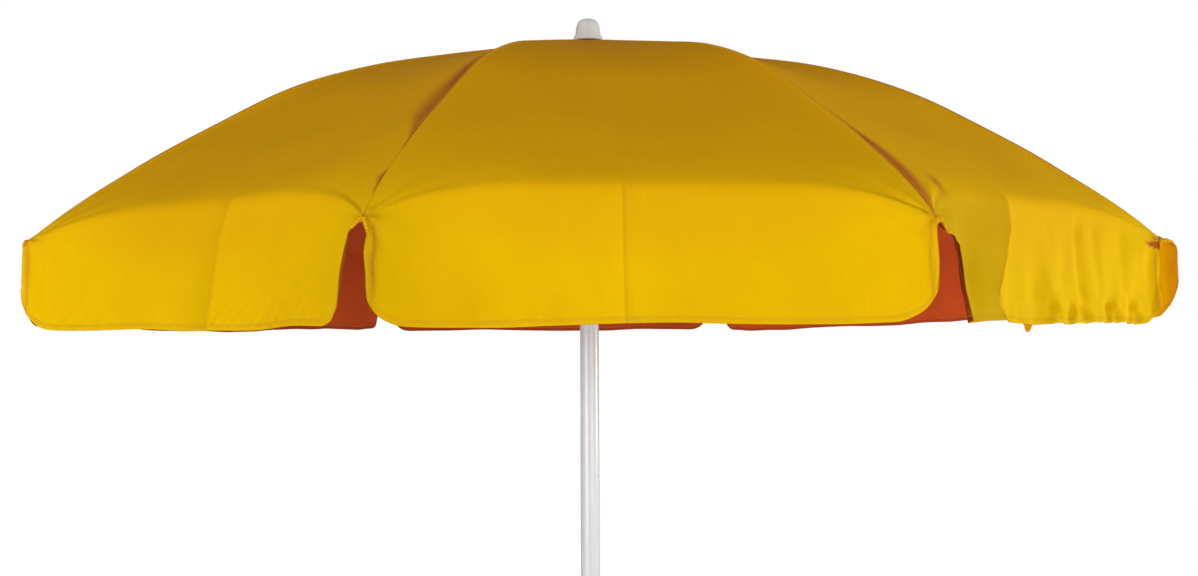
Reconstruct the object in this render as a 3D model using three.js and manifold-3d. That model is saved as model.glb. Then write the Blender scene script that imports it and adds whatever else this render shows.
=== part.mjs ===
// Beach umbrella: eight-rib steel frame on a 32 mm telescoping pole with a tilt joint,
// and a fabric canopy of eight gores, each ending in a hanging valance flap.
// Units are millimetres, +Z is up. The origin is the flat tip of the ground spike, on the pole's axis.
// Rib 1 runs along +X and the others follow every 45 degrees.

import * as THREE from 'three';
import { mergeVertices } from 'three/addons/utils/BufferGeometryUtils.js';
import Module from 'manifold-3d';

const wasm = await Module();
wasm.setup();

// ---------------------------------------------------------------- driving dimensions
const APEX_Z = 2163;          // outer face of the fabric at the crown
const RIBS = 8;
const RIB_TIP_R = 922;        // radius of the canopy corners
const FLAP_DROP = 133;        // length of the valance at the corners
const FABRIC_T = 2.5;         // thickness of the stand-in solid of the fabric
const ARCH = 64;              // how far the bend line climbs back up the gore at its middle
const ARCH_POWER = 5;
const SAG = 10;               // hollow of a gore between its ribs
const GAP = 0.4;              // half gap between neighbouring gores

const POLE_R = 16;            // upper and middle pole, 32 mm tube
const POLE_BORE_R = 14.8;
const LOWER_R = 19;           // lower pole, 38 mm tube
const LOWER_BORE_R = 16.6;

const CROWN_DROP = 18;        // crown pivots below the apex
const PIVOT_R = 30;           // radius of the crown and runner pivots
const WIRE_R = 1.5;           // wire rings that the ribs and stretchers hinge on
const TUNNEL_R = 2.0;
const EYE_R = 4.6;
const EYE_HOLE_R = 2.0;
const EYE_T = 3;
const SLOT_W = 5.6;
const ROD_R = 2.2;            // rib rod
const STRETCHER_R = 2.0;
const JOINT_RIB_R = 440;      // radius at which the stretcher meets the rib
const PIN_DROP = 12;          // stretcher pin below the rib's centre line

const TILT_Z = 998;           // tilt pivot height
const COLLAR_Z = 770;         // underside of the clamp collar
const LOWER_TOP_Z = 815;
const MID_BOTTOM_Z = 420;
const SPIKE_SHOULDER_Z = 92;

// seam line of the canopy: radius, drop below the apex (outer face of the fabric over a rib)
const SEAM = [[12, 0.6], [40, 3.2], [100, 10.5], [180, 21.5], [261, 34], [393, 60], [522, 105], [645, 171], [771, 242], [892, 326], [922, 354]];

// ---------------------------------------------------------------- small helpers
const DEG = Math.PI / 180;

// position-only, merged, no empty triangles, faces outward
function tidy(geometry) {
  let g = geometry.index ? geometry.toNonIndexed() : geometry.clone();
  const bare = new THREE.BufferGeometry().setAttribute('position', g.getAttribute('position'));
  g = mergeVertices(bare, 1e-3);
  const p = g.attributes.position.array, src = g.index.array, keep = [];
  let volume = 0;
  for (let i = 0; i < src.length; i += 3) {
    const [a, b, c] = [src[i], src[i + 1], src[i + 2]];
    if (a === b || b === c || c === a) continue;
    keep.push(a, b, c);
    const A = [p[3 * a], p[3 * a + 1], p[3 * a + 2]], B = [p[3 * b], p[3 * b + 1], p[3 * b + 2]], C = [p[3 * c], p[3 * c + 1], p[3 * c + 2]];
    volume += A[0] * (B[1] * C[2] - B[2] * C[1]) - A[1] * (B[0] * C[2] - B[2] * C[0]) + A[2] * (B[0] * C[1] - B[1] * C[0]);
  }
  if (volume < 0) for (let i = 0; i < keep.length; i += 3) [keep[i + 1], keep[i + 2]] = [keep[i + 2], keep[i + 1]];
  g.setIndex(keep);
  return g;
}

function solid(geometry) {
  const g = tidy(geometry);
  return new wasm.Manifold(new wasm.Mesh({
    numProp: 3,
    vertProperties: new Float32Array(g.attributes.position.array),
    triVerts: new Uint32Array(g.index.array),
  }));
}

function geometryOf(manifold) {
  const m = manifold.getMesh(), n = m.numProp, v = new Float32Array(m.numVert * 3);
  for (let i = 0; i < m.numVert; i++) v.set(m.vertProperties.subarray(i * n, i * n + 3), i * 3);
  const g = new THREE.BufferGeometry().setAttribute('position', new THREE.BufferAttribute(v, 3)).setIndex(new THREE.BufferAttribute(m.triVerts.slice(), 1));
  g.computeVertexNormals();
  return g;
}

// turned piece: profile of [radius, height] pairs, about Z
function turned(profile, segments = 24) {
  return new THREE.LatheGeometry(profile.map(([r, z]) => new THREE.Vector2(r, z)), segments).rotateX(Math.PI / 2);
}
// ring profile closed on itself
function ring(r0, r1, z0, z1, segments = 28) {
  return turned([[r0, z0], [r1, z0], [r1, z1], [r0, z1], [r0, z0]], segments);
}
function rod(r, from, to, sides = 12) {
  const a = new THREE.Vector3(...from), b = new THREE.Vector3(...to), d = b.clone().sub(a);
  const g = new THREE.CylinderGeometry(r, r, d.length(), sides, 1);
  g.applyQuaternion(new THREE.Quaternion().setFromUnitVectors(new THREE.Vector3(0, 1, 0), d.clone().normalize()));
  return g.translate(...a.add(b).multiplyScalar(0.5).toArray());
}
function block(x0, x1, y0, y1, z0, z1) {
  return new THREE.BoxGeometry(x1 - x0, y1 - y0, z1 - z0).translate((x0 + x1) / 2, (y0 + y1) / 2, (z0 + z1) / 2);
}
// flat shape in the X-Z plane, thick along Y
function plateXZ(points, thickness, y = 0, hole = null) {
  const s = new THREE.Shape(points.map(([x, z]) => new THREE.Vector2(x, z)));
  if (hole) {
    const h = new THREE.Path();
    h.absarc(hole[0], hole[1], hole[2], 0, 2 * Math.PI, true);
    s.holes.push(h);
  }
  const g = new THREE.ExtrudeGeometry(s, { depth: thickness, bevelEnabled: false, curveSegments: 4 });
  return g.translate(0, 0, -thickness / 2).rotateX(Math.PI / 2).translate(0, y, 0); // its Z thickness now runs along Y
}
function circlePoints(cx, cz, r, n) {
  return Array.from({ length: n }, (_, i) => [cx + r * Math.cos(2 * Math.PI * i / n), cz + r * Math.sin(2 * Math.PI * i / n)]);
}
// half circle about the origin, counter-clockwise from angle a0
function halfCircle(r, a0, n) {
  return Array.from({ length: n + 1 }, (_, i) => [r * Math.cos((a0 + 180 * i / n) * DEG), r * Math.sin((a0 + 180 * i / n) * DEG)]);
}
// octagonal ring whose straight sides face the ribs, at height z
function octagonRing(inradius, wire, z, sides = 8) {
  const corner = inradius / Math.cos(Math.PI / RIBS);
  const pts = Array.from({ length: RIBS }, (_, i) => new THREE.Vector3(corner * Math.cos((i + 0.5) * 45 * DEG), corner * Math.sin((i + 0.5) * 45 * DEG), z));
  const positions = [], index = [];
  for (let i = 0; i < RIBS; i++) {
    const out = new THREE.Vector3(Math.cos((i + 0.5) * 45 * DEG), Math.sin((i + 0.5) * 45 * DEG), 0);
    for (let j = 0; j < sides; j++) {
      const a = (j + 0.5) * 2 * Math.PI / sides, k = wire / Math.cos(Math.PI / RIBS);
      const p = pts[i].clone().addScaledVector(out, k * Math.cos(a));
      positions.push(p.x, p.y, z + wire * Math.sin(a));
    }
  }
  for (let i = 0; i < RIBS; i++) for (let j = 0; j < sides; j++) {
    const i2 = (i + 1) % RIBS, j2 = (j + 1) % sides;
    const a = i * sides + j, b = i2 * sides + j, c = i2 * sides + j2, d = i * sides + j2;
    index.push(a, b, c, a, c, d);
  }
  return new THREE.BufferGeometry().setAttribute('position', new THREE.Float32BufferAttribute(positions, 3)).setIndex(index);
}

// monotone cubic through the seam points
const spline = (() => {
  const n = SEAM.length, h = [], d = [], m = new Array(n).fill(0);
  for (let i = 0; i < n - 1; i++) { h.push(SEAM[i + 1][0] - SEAM[i][0]); d.push((SEAM[i + 1][1] - SEAM[i][1]) / h[i]); }
  m[0] = d[0]; m[n - 1] = d[n - 2];
  for (let i = 1; i < n - 1; i++) m[i] = (d[i - 1] * h[i] + d[i] * h[i - 1]) / (h[i - 1] + h[i]);
  return (r) => {
    let i = 0;
    while (i < n - 2 && r > SEAM[i + 1][0]) i++;
    const t = (r - SEAM[i][0]) / h[i];
    const drop = (2 * t ** 3 - 3 * t ** 2 + 1) * SEAM[i][1] + (t ** 3 - 2 * t ** 2 + t) * h[i] * m[i] + (-2 * t ** 3 + 3 * t ** 2) * SEAM[i + 1][1] + (t ** 3 - t ** 2) * h[i] * m[i + 1];
    const slope = ((6 * t ** 2 - 6 * t) * SEAM[i][1] + (-6 * t ** 2 + 6 * t) * SEAM[i + 1][1]) / h[i] + (3 * t ** 2 - 4 * t + 1) * m[i] + (3 * t ** 2 - 2 * t) * m[i + 1];
    return [drop, slope];
  };
})();
// arc length table of the seam, so that a gore's rows are evenly spaced
const ARC = [[SEAM[0][0], 0]];
for (let r = SEAM[0][0] + 2; r <= RIB_TIP_R + 1e-9; r += 2) {
  const [r0, s0] = ARC[ARC.length - 1];
  ARC.push([r, s0 + Math.hypot(r - r0, spline(r)[0] - spline(r0)[0])]);
}
const SEAM_LENGTH = ARC[ARC.length - 1][1];
function radiusAt(s) {
  let i = 1;
  while (i < ARC.length - 1 && ARC[i][1] < s) i++;
  const [r0, s0] = ARC[i - 1], [r1, s1] = ARC[i];
  return r0 + (r1 - r0) * (s - s0) / (s1 - s0);
}

// ---------------------------------------------------------------- materials
const metal = (color, roughness = 0.4, metalness = 0.9) => new THREE.MeshStandardMaterial({ color, roughness, metalness });
const paint = (color, roughness = 0.4) => new THREE.MeshStandardMaterial({ color, roughness, metalness: 0.0 });
const fabric = () => new THREE.MeshStandardMaterial({ color: 0xe9b400, roughness: 0.85, metalness: 0, side: THREE.DoubleSide });

const umbrella = new THREE.Group();
function add(parent, name, geometry, material) {
  const g = tidy(geometry);
  g.computeVertexNormals();
  const mesh = new THREE.Mesh(g, material);
  mesh.name = name;
  parent.add(mesh);
  return mesh;
}

// ---------------------------------------------------------------- ground spike and poles
add(umbrella, 'ground_spike', turned([
  [0, 0], [6, 0], [9, 22], [15.5, 66], [19, 84], [19, SPIKE_SHOULDER_Z - 0.3], [16.2, SPIKE_SHOULDER_Z - 0.3], [16.2, 150], [14, 156], [0, 156],
], 24), paint(0xdcdcda, 0.5));

const lowerPole = solid(ring(LOWER_BORE_R, LOWER_R, SPIKE_SHOULDER_Z, LOWER_TOP_Z, 28))
  .subtract(solid(rod(3.6, [0, -10, COLLAR_Z + 32], [0, -25, COLLAR_Z + 32], 12)));
add(umbrella, 'lower_pole', geometryOf(lowerPole), paint(0xe8e8ea, 0.3));

// clamp collar: slipped over the mouth of the lower pole, with a lip that guides the middle pole
const collar = solid(turned([
  [19.3, COLLAR_Z], [23, COLLAR_Z], [25, COLLAR_Z + 4], [25, COLLAR_Z + 52], [23, COLLAR_Z + 58], [16.7, COLLAR_Z + 58], [16.7, LOWER_TOP_Z + 0.5], [19.3, LOWER_TOP_Z + 0.5], [19.3, COLLAR_Z],
], 32))
  .add(solid(rod(9, [0, -22, COLLAR_Z + 32], [0, -31, COLLAR_Z + 32], 16)))
  .subtract(solid(rod(3.6, [0, -10, COLLAR_Z + 32], [0, -40, COLLAR_Z + 32], 12)));
add(umbrella, 'clamp_collar', geometryOf(collar), paint(0xd7d8d8, 0.45));

// clamp knob: five-lobed grip on a threaded stem
{
  const lobes = new THREE.Shape();
  const N = 40;
  for (let i = 0; i < N; i++) {
    const a = 2 * Math.PI * i / N, r = 16 + 2.2 * Math.cos(5 * a);
    if (i) lobes.lineTo(r * Math.cos(a), r * Math.sin(a)); else lobes.moveTo(r * Math.cos(a), r * Math.sin(a));
  }
  const grip = new THREE.ExtrudeGeometry(lobes, { depth: 9, bevelEnabled: true, bevelThickness: 1.5, bevelSize: 1.5, bevelSegments: 1, steps: 1 })
    .rotateX(Math.PI / 2).translate(0, -33, 0); // its depth now runs towards -Y
  const knob = solid(grip).add(solid(rod(3, [0, -17, 0], [0, -36, 0], 12)));
  add(umbrella, 'clamp_knob', geometryOf(knob), paint(0x3a3c40, 0.55)).position.set(0, 0, COLLAR_Z + 32);
}

add(umbrella, 'middle_pole', ring(POLE_BORE_R, POLE_R, MID_BOTTOM_Z, TILT_Z - 43, 28), paint(0xe8e8ea, 0.3));

// ---------------------------------------------------------------- tilt joint
const tilt = new THREE.Group();
tilt.position.z = TILT_Z;
umbrella.add(tilt);
{
  // lower half: socket for the middle pole, two round cheeks, and a boss for the lock button
  const cheeks = plateXZ([...halfCircle(14, 0, 12), [-14, -20], [14, -20]], 38, 0);
  let lower = solid(turned([[16.4, -74], [18.6, -74], [19.6, -71], [19.6, -20], [18, -17], [0, -17], [0, -40], [16.4, -40], [16.4, -74]], 32))
    .add(solid(cheeks).intersect(solid(rod(19.6, [0, 0, -30], [0, 0, 20], 32))))
    .add(solid(block(-9, 9, -30, -14, -62, -40)).subtract(solid(rod(16.4, [0, 0, -80], [0, 0, -40], 32))))
    .subtract(solid(block(-30, 30, -6.9, 6.9, -17, 30)))
    .subtract(solid(rod(4.3, [0, -40, 0], [0, 40, 0], 16)))
    .subtract(solid(rod(6.5, [0, -17.6, -51], [0, -40, -51], 16)));
  add(tilt, 'tilt_socket', geometryOf(lower), paint(0xd7d8d8, 0.45));

  // upper half: socket for the upper pole and a round-ended tongue
  const tongue = plateXZ([...halfCircle(14, 180, 12), [14, 24], [-14, 24]], 12.8, 0);
  const upper = solid(turned([[0, 17], [18, 17], [19.6, 20], [19.6, 74], [18.6, 77], [16.4, 77], [16.4, 33], [0, 33]], 32))
    .add(solid(tongue))
    .subtract(solid(rod(4.3, [0, -40, 0], [0, 40, 0], 16)));
  add(tilt, 'tilt_tongue', geometryOf(upper), paint(0xd7d8d8, 0.45));

  const pin = solid(rod(4, [0, -20.5, 0], [0, 20.5, 0], 16))
    .add(solid(rod(6.5, [0, -22.5, 0], [0, -20.2, 0], 16)))
    .add(solid(rod(6.5, [0, 22.5, 0], [0, 20.2, 0], 16)));
  add(tilt, 'tilt_pin', geometryOf(pin), metal(0xb8bbc0, 0.3));

  const button = new THREE.LatheGeometry([[0, -22], [6, -22], [6, -33], [4.6, -35], [0, -35.4]].map(([r, y]) => new THREE.Vector2(r, y)), 16).translate(0, 0, -51);
  add(tilt, 'tilt_button', button, paint(0x3a3c40, 0.5));
}

// ---------------------------------------------------------------- upper pole, crown hub and finial
const top = new THREE.Group();
top.position.z = APEX_Z;
umbrella.add(top);

const POLE_TOP = -12.6;
const RUNNER_DROP = (() => {
  const [d, slope] = spline(JOINT_RIB_R);
  const ribDrop = d + (8.0 + 1.8 * slope) * Math.hypot(1, slope);
  return CROWN_DROP + 2 * (ribDrop + PIN_DROP - CROWN_DROP);
})(); // runner pivots lie this far below the apex with the canopy open
const RUNNER_BOTTOM = -(RUNNER_DROP + 58);
const upperPole = solid(ring(POLE_BORE_R, POLE_R, -(APEX_Z - TILT_Z - 33.5), POLE_TOP, 28))
  .subtract(solid(block(-3.2, 3.2, -20, -10, RUNNER_BOTTOM - 40, RUNNER_BOTTOM - 1.5)));
add(top, 'upper_pole', geometryOf(upperPole), paint(0xe8e8ea, 0.3));

// spring catch: bent leaf inside the pole whose nose stands out under the runner
add(top, 'spring_catch', plateXZ([
  [0, 0], [1.2, 0], [1.2, 8], [2.2, 12], [7, 26], [7, 28.2], [1.2, 30], [1.2, 60], [0, 60],
].map(([x, z]) => [x + 12.8, z + RUNNER_BOTTOM - 32.2]), 5.4).rotateZ(-Math.PI / 2), metal(0xc2c4c8, 0.35));

let hub = solid(turned([
  [4.4, -7.6], [33, -7.6], [40, -10.2], [40, -24], [38, -26], [22, -26], [20.5, -28], [20.5, -58], [19, -60], [16.4, -60], [16.4, -12.2], [4.4, -12.2], [4.4, -7.6],
], 24)).subtract(solid(octagonRing(PIVOT_R, TUNNEL_R, -CROWN_DROP, 6)));
let runner = solid(turned([
  [16.6, 8], [22, 8], [22, 6.5], [38, 6.5], [40, 4.5], [40, -8], [38, -10], [21.5, -12], [20.5, -48], [23, -52], [23, -57], [22, -58], [16.6, -58], [16.6, 8],
], 24)).subtract(solid(octagonRing(PIVOT_R, TUNNEL_R, 0, 6)));
for (let i = 0; i < RIBS; i++) {
  hub = hub.subtract(solid(block(24, 50, -SLOT_W / 2, SLOT_W / 2, -60, -12.4).rotateZ(i * 45 * DEG)));
  runner = runner.subtract(solid(block(24, 50, -SLOT_W / 2, SLOT_W / 2, -5.6, 20).rotateZ(i * 45 * DEG)));
}
add(top, 'crown_hub', geometryOf(hub), paint(0xd7d8d8, 0.45));
add(top, 'crown_wire', octagonRing(PIVOT_R, WIRE_R, -CROWN_DROP, 6), metal(0xb8bbc0, 0.3));
add(top, 'finial', turned([
  [0, -10.5], [4, -10.5], [4, 0.4], [24.6, 0.4], [25.4, 1.6], [22.4, 4.2], [20.6, 8], [20.2, 20], [19.2, 27], [16, 32.6], [10.5, 36], [0, 37],
], 28), paint(0xd2cec8, 0.5));

const runnerGroup = new THREE.Group();
runnerGroup.position.z = -RUNNER_DROP;
top.add(runnerGroup);
add(runnerGroup, 'runner', geometryOf(runner), paint(0xd7d8d8, 0.45));
add(runnerGroup, 'runner_wire', octagonRing(PIVOT_R, WIRE_R, 0, 6), metal(0xb8bbc0, 0.3));

// ---------------------------------------------------------------- ribs and stretchers, built in the plane of rib 1
// centre line of the rib: a constant distance under the fabric, lower at the tip where its cap goes
function ribAxis(r) {
  const [d, slope] = spline(r);
  const off = 8.0 + 1.8 * slope + 2.2 * THREE.MathUtils.smoothstep(r, 840, 905);
  return [r, -(d + off * Math.hypot(1, slope))];
}
const jointDrop = -ribAxis(JOINT_RIB_R)[1] + PIN_DROP;

function polygonShape(r, n = 6) {
  return new THREE.Shape(Array.from({ length: n }, (_, i) => new THREE.Vector2(r * Math.cos((i + 0.5) * 2 * Math.PI / n), r * Math.sin((i + 0.5) * 2 * Math.PI / n))));
}
const ribStations = [160, 240, 320, 400, 480, 560, 640, 720, 800, 860, 900];
const ribLine = [[PIVOT_R + 3.4, -CROWN_DROP], [PIVOT_R + 40, -CROWN_DROP - 3], [115, -(spline(115)[0] + 10.2)], ...ribStations.map((r) => ribAxis(r))];
function makeRib() {
  const curve = new THREE.CatmullRomCurve3(ribLine.map(([x, z]) => new THREE.Vector3(x, 0, z)), false, 'centripetal');
  const rodSolid = solid(new THREE.ExtrudeGeometry(polygonShape(ROD_R), { steps: 18, bevelEnabled: false, extrudePath: curve }));
  const eye = solid(plateXZ(circlePoints(PIVOT_R, -CROWN_DROP, EYE_R, 12), EYE_T, 0, [PIVOT_R, -CROWN_DROP, EYE_HOLE_R]))
    .add(solid(block(PIVOT_R + 3.2, PIVOT_R + 12, -EYE_T / 2, EYE_T / 2, -CROWN_DROP - 2, -CROWN_DROP + 1.6)));
  // saddle that is pressed round the rod, with the stretcher's pin under it
  const j = [JOINT_RIB_R, -jointDrop];
  const saddle = solid(block(j[0] - 12, j[0] + 12, -3.2, 3.2, j[1] + PIN_DROP - 3.2, j[1] + PIN_DROP + 1.2))
    .add(solid(plateXZ([[j[0] - 5, j[1] + PIN_DROP], [j[0] - 4, j[1] - 2], [j[0] - 2, j[1] - 4], [j[0] + 2, j[1] - 4], [j[0] + 4, j[1] - 2], [j[0] + 5, j[1] + PIN_DROP]], 3)));
  const pin = solid(rod(1.6, [j[0], -5.4, j[1]], [j[0], 5.4, j[1]], 8))
    .add(solid(rod(3, [j[0], -5.6, j[1]], [j[0], -4.5, j[1]], 8)))
    .add(solid(rod(3, [j[0], 5.6, j[1]], [j[0], 4.5, j[1]], 8)));
  return geometryOf(rodSolid.add(eye).add(saddle).add(pin));
}
function makeStretcher() {
  const P = new THREE.Vector3(PIVOT_R, 0, -RUNNER_DROP), J = new THREE.Vector3(JOINT_RIB_R, 0, -jointDrop);
  const L = P.distanceTo(J), pitch = Math.atan2(J.z - P.z, J.x - P.x);
  // built along +X from the runner pivot, then pitched up to the rib pin
  const eye = solid(plateXZ(circlePoints(0, 0, EYE_R, 12), EYE_T, 0, [0, 0, EYE_HOLE_R]));
  const bar = solid(rod(STRETCHER_R, [3.4, 0, 0], [L - 17, 0, 0], 6));
  const fork = solid(plateXZ([[L - 26, -3], [L - 20, -4], [L, -4.4], [L + 3, -3.2], [L + 4.4, 0], [L + 3, 3.2], [L, 4.4], [L - 20, 4], [L - 26, 3]], 8.2, 0, [L, 0, 2.1]))
    .subtract(solid(block(L - 15, L + 10, -2.1, 2.1, -10, 10)));
  return geometryOf(eye.add(bar).add(fork).translate([0, 0, 0])).clone().rotateY(-pitch).translate(P.x, 0, P.z);
}
// plastic cap on the rib's end, sewn into the canopy's corner
function makeTipCap() {
  const a = ribAxis(890), b = ribAxis(900);
  const dir = new THREE.Vector3(b[0] - a[0], 0, b[1] - a[1]).normalize();
  const cap = turned([[0, 4.2], [3, 3.2], [4.3, -0.5], [4.3, -14], [3.1, -14], [3.1, 0.9], [0, 0.9]], 10);
  cap.applyQuaternion(new THREE.Quaternion().setFromUnitVectors(new THREE.Vector3(0, 0, 1), dir));
  return cap.translate(b[0], 0, b[1]);
}
const ribGeometry = makeRib(), stretcherGeometry = makeStretcher(), capGeometry = makeTipCap();
for (let i = 0; i < RIBS; i++) {
  const spoke = new THREE.Group();
  spoke.rotation.z = i * 45 * DEG;
  top.add(spoke);
  add(spoke, `rib_${i + 1}`, ribGeometry, metal(0xb9bcc1, 0.35));
  add(spoke, `stretcher_${i + 1}`, stretcherGeometry, metal(0xb9bcc1, 0.35));
  add(spoke, `rib_tip_${i + 1}`, capGeometry, paint(0xe4e2dc, 0.5));
}

// ---------------------------------------------------------------- canopy gores and flaps, built about their own middle plane
const HALF = Math.PI / RIBS;
// outer face of a gore: u from crown (0) to bend line (1), t from rib (-1) to rib (+1); returns x (outward in the middle plane), y, z, and the face's outward tilt
function gore(u, t) {
  const s = u * (SEAM_LENGTH - ARCH * (1 - Math.abs(t) ** ARCH_POWER));
  const r = radiusAt(s), [d, slope] = spline(r);
  const hollow = SAG * (1 - t * t) * Math.sin(Math.PI * u) ** 1.6;
  const n = Math.hypot(1, slope);
  return { x: r * Math.cos(HALF) - hollow * slope / n, y: t * (r * Math.sin(HALF) - GAP), z: -(d + hollow / n), nh: slope / n, nv: 1 / n };
}
// hem line of a flap
function hem(t) {
  const half = RIB_TIP_R * Math.sin(HALF), y = t * (half - 24);
  const corner = 48, over = Math.max(0, Math.abs(y) - (half - 24 - corner));
  const rise = corner - Math.sqrt(Math.max(0, corner * corner - over * over));
  return { x: 872 - 36 * (1 - t * t), y, z: -(354 + FLAP_DROP) + rise };
}
// point of the flap at drop d below the apex
function flap(t, drop) {
  const b = gore(1, t), h = hem(t), v = Math.min(1, (drop + b.z) / (b.z - h.z));
  const bulge = 4 * Math.sin(Math.PI * v);
  return { x: b.x + (h.x - b.x) * v + bulge, y: b.y + (h.y - b.y) * v * v, z: b.z + (h.z - b.z) * v, nh: 1, nv: 0 };
}
// closed sheet of thickness FABRIC_T from a grid of outer points
function sheet(rows) {
  const R = rows.length, C = rows[0].length, pos = [], index = [];
  for (const row of rows) for (const p of row) pos.push(p.x, p.y, p.z);
  for (const row of rows) for (const p of row) {
    // the inner face lies straight inward in the vertical plane through the pole and the point
    const ax = p.x, ay = p.y, l = Math.hypot(ax, ay);
    pos.push(p.x - FABRIC_T * p.nh * ax / l, p.y - FABRIC_T * p.nh * ay / l, p.z - FABRIC_T * p.nv);
  }
  const at = (k, i, j) => k * R * C + i * C + j;
  const quad = (a, b, c, d) => index.push(a, b, c, a, c, d);
  for (let i = 0; i < R - 1; i++) for (let j = 0; j < C - 1; j++) {
    quad(at(0, i, j), at(0, i + 1, j), at(0, i + 1, j + 1), at(0, i, j + 1));
    quad(at(1, i, j), at(1, i, j + 1), at(1, i + 1, j + 1), at(1, i + 1, j));
  }
  for (let i = 0; i < R - 1; i++) {
    quad(at(0, i, 0), at(1, i, 0), at(1, i + 1, 0), at(0, i + 1, 0));
    quad(at(0, i, C - 1), at(0, i + 1, C - 1), at(1, i + 1, C - 1), at(1, i, C - 1));
  }
  for (let j = 0; j < C - 1; j++) {
    quad(at(0, 0, j), at(0, 0, j + 1), at(1, 0, j + 1), at(1, 0, j));
    quad(at(0, R - 1, j), at(1, R - 1, j), at(1, R - 1, j + 1), at(0, R - 1, j + 1));
  }
  return new THREE.BufferGeometry().setAttribute('position', new THREE.Float32BufferAttribute(pos, 3)).setIndex(index);
}
const ts = [-1, -0.86, -0.6, 0, 0.6, 0.86, 1];
const us = [0, 0.08, 0.16, 0.24, 0.31, 0.38, 0.45, 0.52, 0.59, 0.66, 0.73, 0.8, 0.87, 0.94];
const SPLIT = 357;            // the flap starts this far below the apex
const goreRows = [...us.map((u) => ts.map((t) => gore(u, t))), ts.map((t) => { const p = gore(1, t); return { ...p, nh: 0.9, nv: 0.44 }; }), ts.map((t) => flap(t, SPLIT))];
const flapRows = [0, 0.35, 0.7, 1].map((k) => ts.map((t) => flap(t, SPLIT + 0.6 + k * (-hem(t).z - SPLIT - 0.6))));
const goreGeometry = sheet(goreRows), flapGeometry = sheet(flapRows);
for (let i = 0; i < RIBS; i++) {
  const sector = new THREE.Group();
  sector.rotation.z = (i + 0.5) * 45 * DEG;
  top.add(sector);
  add(sector, `canopy_panel_${i + 1}`, goreGeometry, fabric());
  add(sector, `canopy_flap_${i + 1}`, flapGeometry, fabric());
}

export default umbrella;
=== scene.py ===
# Beach umbrella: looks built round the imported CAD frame. Metres, +Z up, same frame as the CAD.
import bpy
import bmesh
import math
import numpy as np
from mathutils import Matrix, Vector


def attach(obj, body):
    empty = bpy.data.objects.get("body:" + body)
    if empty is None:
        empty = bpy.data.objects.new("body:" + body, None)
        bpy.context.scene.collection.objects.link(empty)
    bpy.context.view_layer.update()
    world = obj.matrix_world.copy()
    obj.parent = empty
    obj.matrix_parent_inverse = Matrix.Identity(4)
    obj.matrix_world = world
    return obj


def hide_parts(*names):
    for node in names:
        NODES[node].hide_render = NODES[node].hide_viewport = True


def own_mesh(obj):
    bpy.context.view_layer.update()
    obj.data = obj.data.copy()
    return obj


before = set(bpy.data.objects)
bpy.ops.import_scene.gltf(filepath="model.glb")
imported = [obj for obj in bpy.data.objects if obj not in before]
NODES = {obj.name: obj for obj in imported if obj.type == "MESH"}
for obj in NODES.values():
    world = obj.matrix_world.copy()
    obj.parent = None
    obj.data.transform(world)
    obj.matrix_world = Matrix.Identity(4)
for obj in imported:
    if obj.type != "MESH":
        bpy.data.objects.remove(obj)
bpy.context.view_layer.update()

# ------------------------------------------------------------------ sizes from the CAD (millimetres here, metres in the scene)
RIBS = 8
HALF = math.pi / RIBS
APEX = 2163.0
TIP_R = 922.0
SEAM = np.array([[0, 0.0], [12, 0.5], [40, 3.2], [100, 10.5], [180, 21.5], [261, 34], [393, 60], [522, 105], [645, 171], [771, 242], [892, 326], [922, 354]], float)
FLAP_DROP = 133.0
ARCH = 66.0
SPLIT = 357.0
PIVOT_R, CROWN_DROP = 30.0, 18.0
JOINT_R = 440.0
TILT_Z = 998.0
COLLAR_Z = 770.0
FABRIC_T = 0.45


def pchip(points):
    x, y = points[:, 0], points[:, 1]
    h, d = np.diff(x), np.diff(y) / np.diff(x)
    m = np.empty(len(x))
    m[0], m[-1] = d[0], d[-1]
    m[1:-1] = (d[:-1] * h[1:] + d[1:] * h[:-1]) / (h[:-1] + h[1:])

    def f(r):
        r = np.asarray(r, float)
        i = np.clip(np.searchsorted(x, r, side="right") - 1, 0, len(x) - 2)
        t = (r - x[i]) / h[i]
        return (2 * t**3 - 3 * t**2 + 1) * y[i] + (t**3 - 2 * t**2 + t) * h[i] * m[i] + (-2 * t**3 + 3 * t**2) * y[i + 1] + (t**3 - t**2) * h[i] * m[i + 1]

    return f


drop_of = pchip(SEAM)
WORN = pchip(np.array([[0, 0], [40, 1.0], [110, 3.2], [250, 5.0], [400, 3.2], [520, 1.5], [650, 0], [800, 0], [922, 0]], float))
LEFT_SET = pchip(np.array([[0, 0], [150, 0.5], [250, 1.5], [400, 5.5], [520, 4.5], [650, 4.5], [800, 9.0], [870, 10], [905, 7], [922, 3]], float))
RIGHT_SET = pchip(np.array([[0, 0], [250, 0], [400, -2], [520, -3.5], [600, -6.5], [700, -4.5], [800, 0.5], [870, 2], [922, 0]], float))
SET_AZ = math.radians(17.16)


def settle(r, az):
    """How far (mm) the used canopy sits below its drawn shape, at radius r and azimuth az (radians)."""
    r = np.minimum(np.asarray(r, float), TIP_R)
    side = np.cos(az - SET_AZ)
    return WORN(r) + LEFT_SET(r) * np.clip(-side, 0, 1) ** 1.5 + RIGHT_SET(r) * np.clip(side, 0, 1) ** 1.5


_r = np.arange(0, TIP_R + 0.5, 1.0)
_s = np.concatenate([[0], np.cumsum(np.hypot(np.diff(_r), np.diff(drop_of(_r))))])
SEAM_LEN = _s[-1]


def radius_at(s):
    return np.interp(s, _s, _r)


def slope_at(r):
    return (drop_of(np.minimum(r + 1, TIP_R)) - drop_of(np.maximum(r - 1, 0))) / (np.minimum(r + 1, TIP_R) - np.maximum(r - 1, 0))


def smooth(x, a, b):
    t = np.clip((x - a) / (b - a), 0, 1)
    return t * t * (3 - 2 * t)


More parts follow.
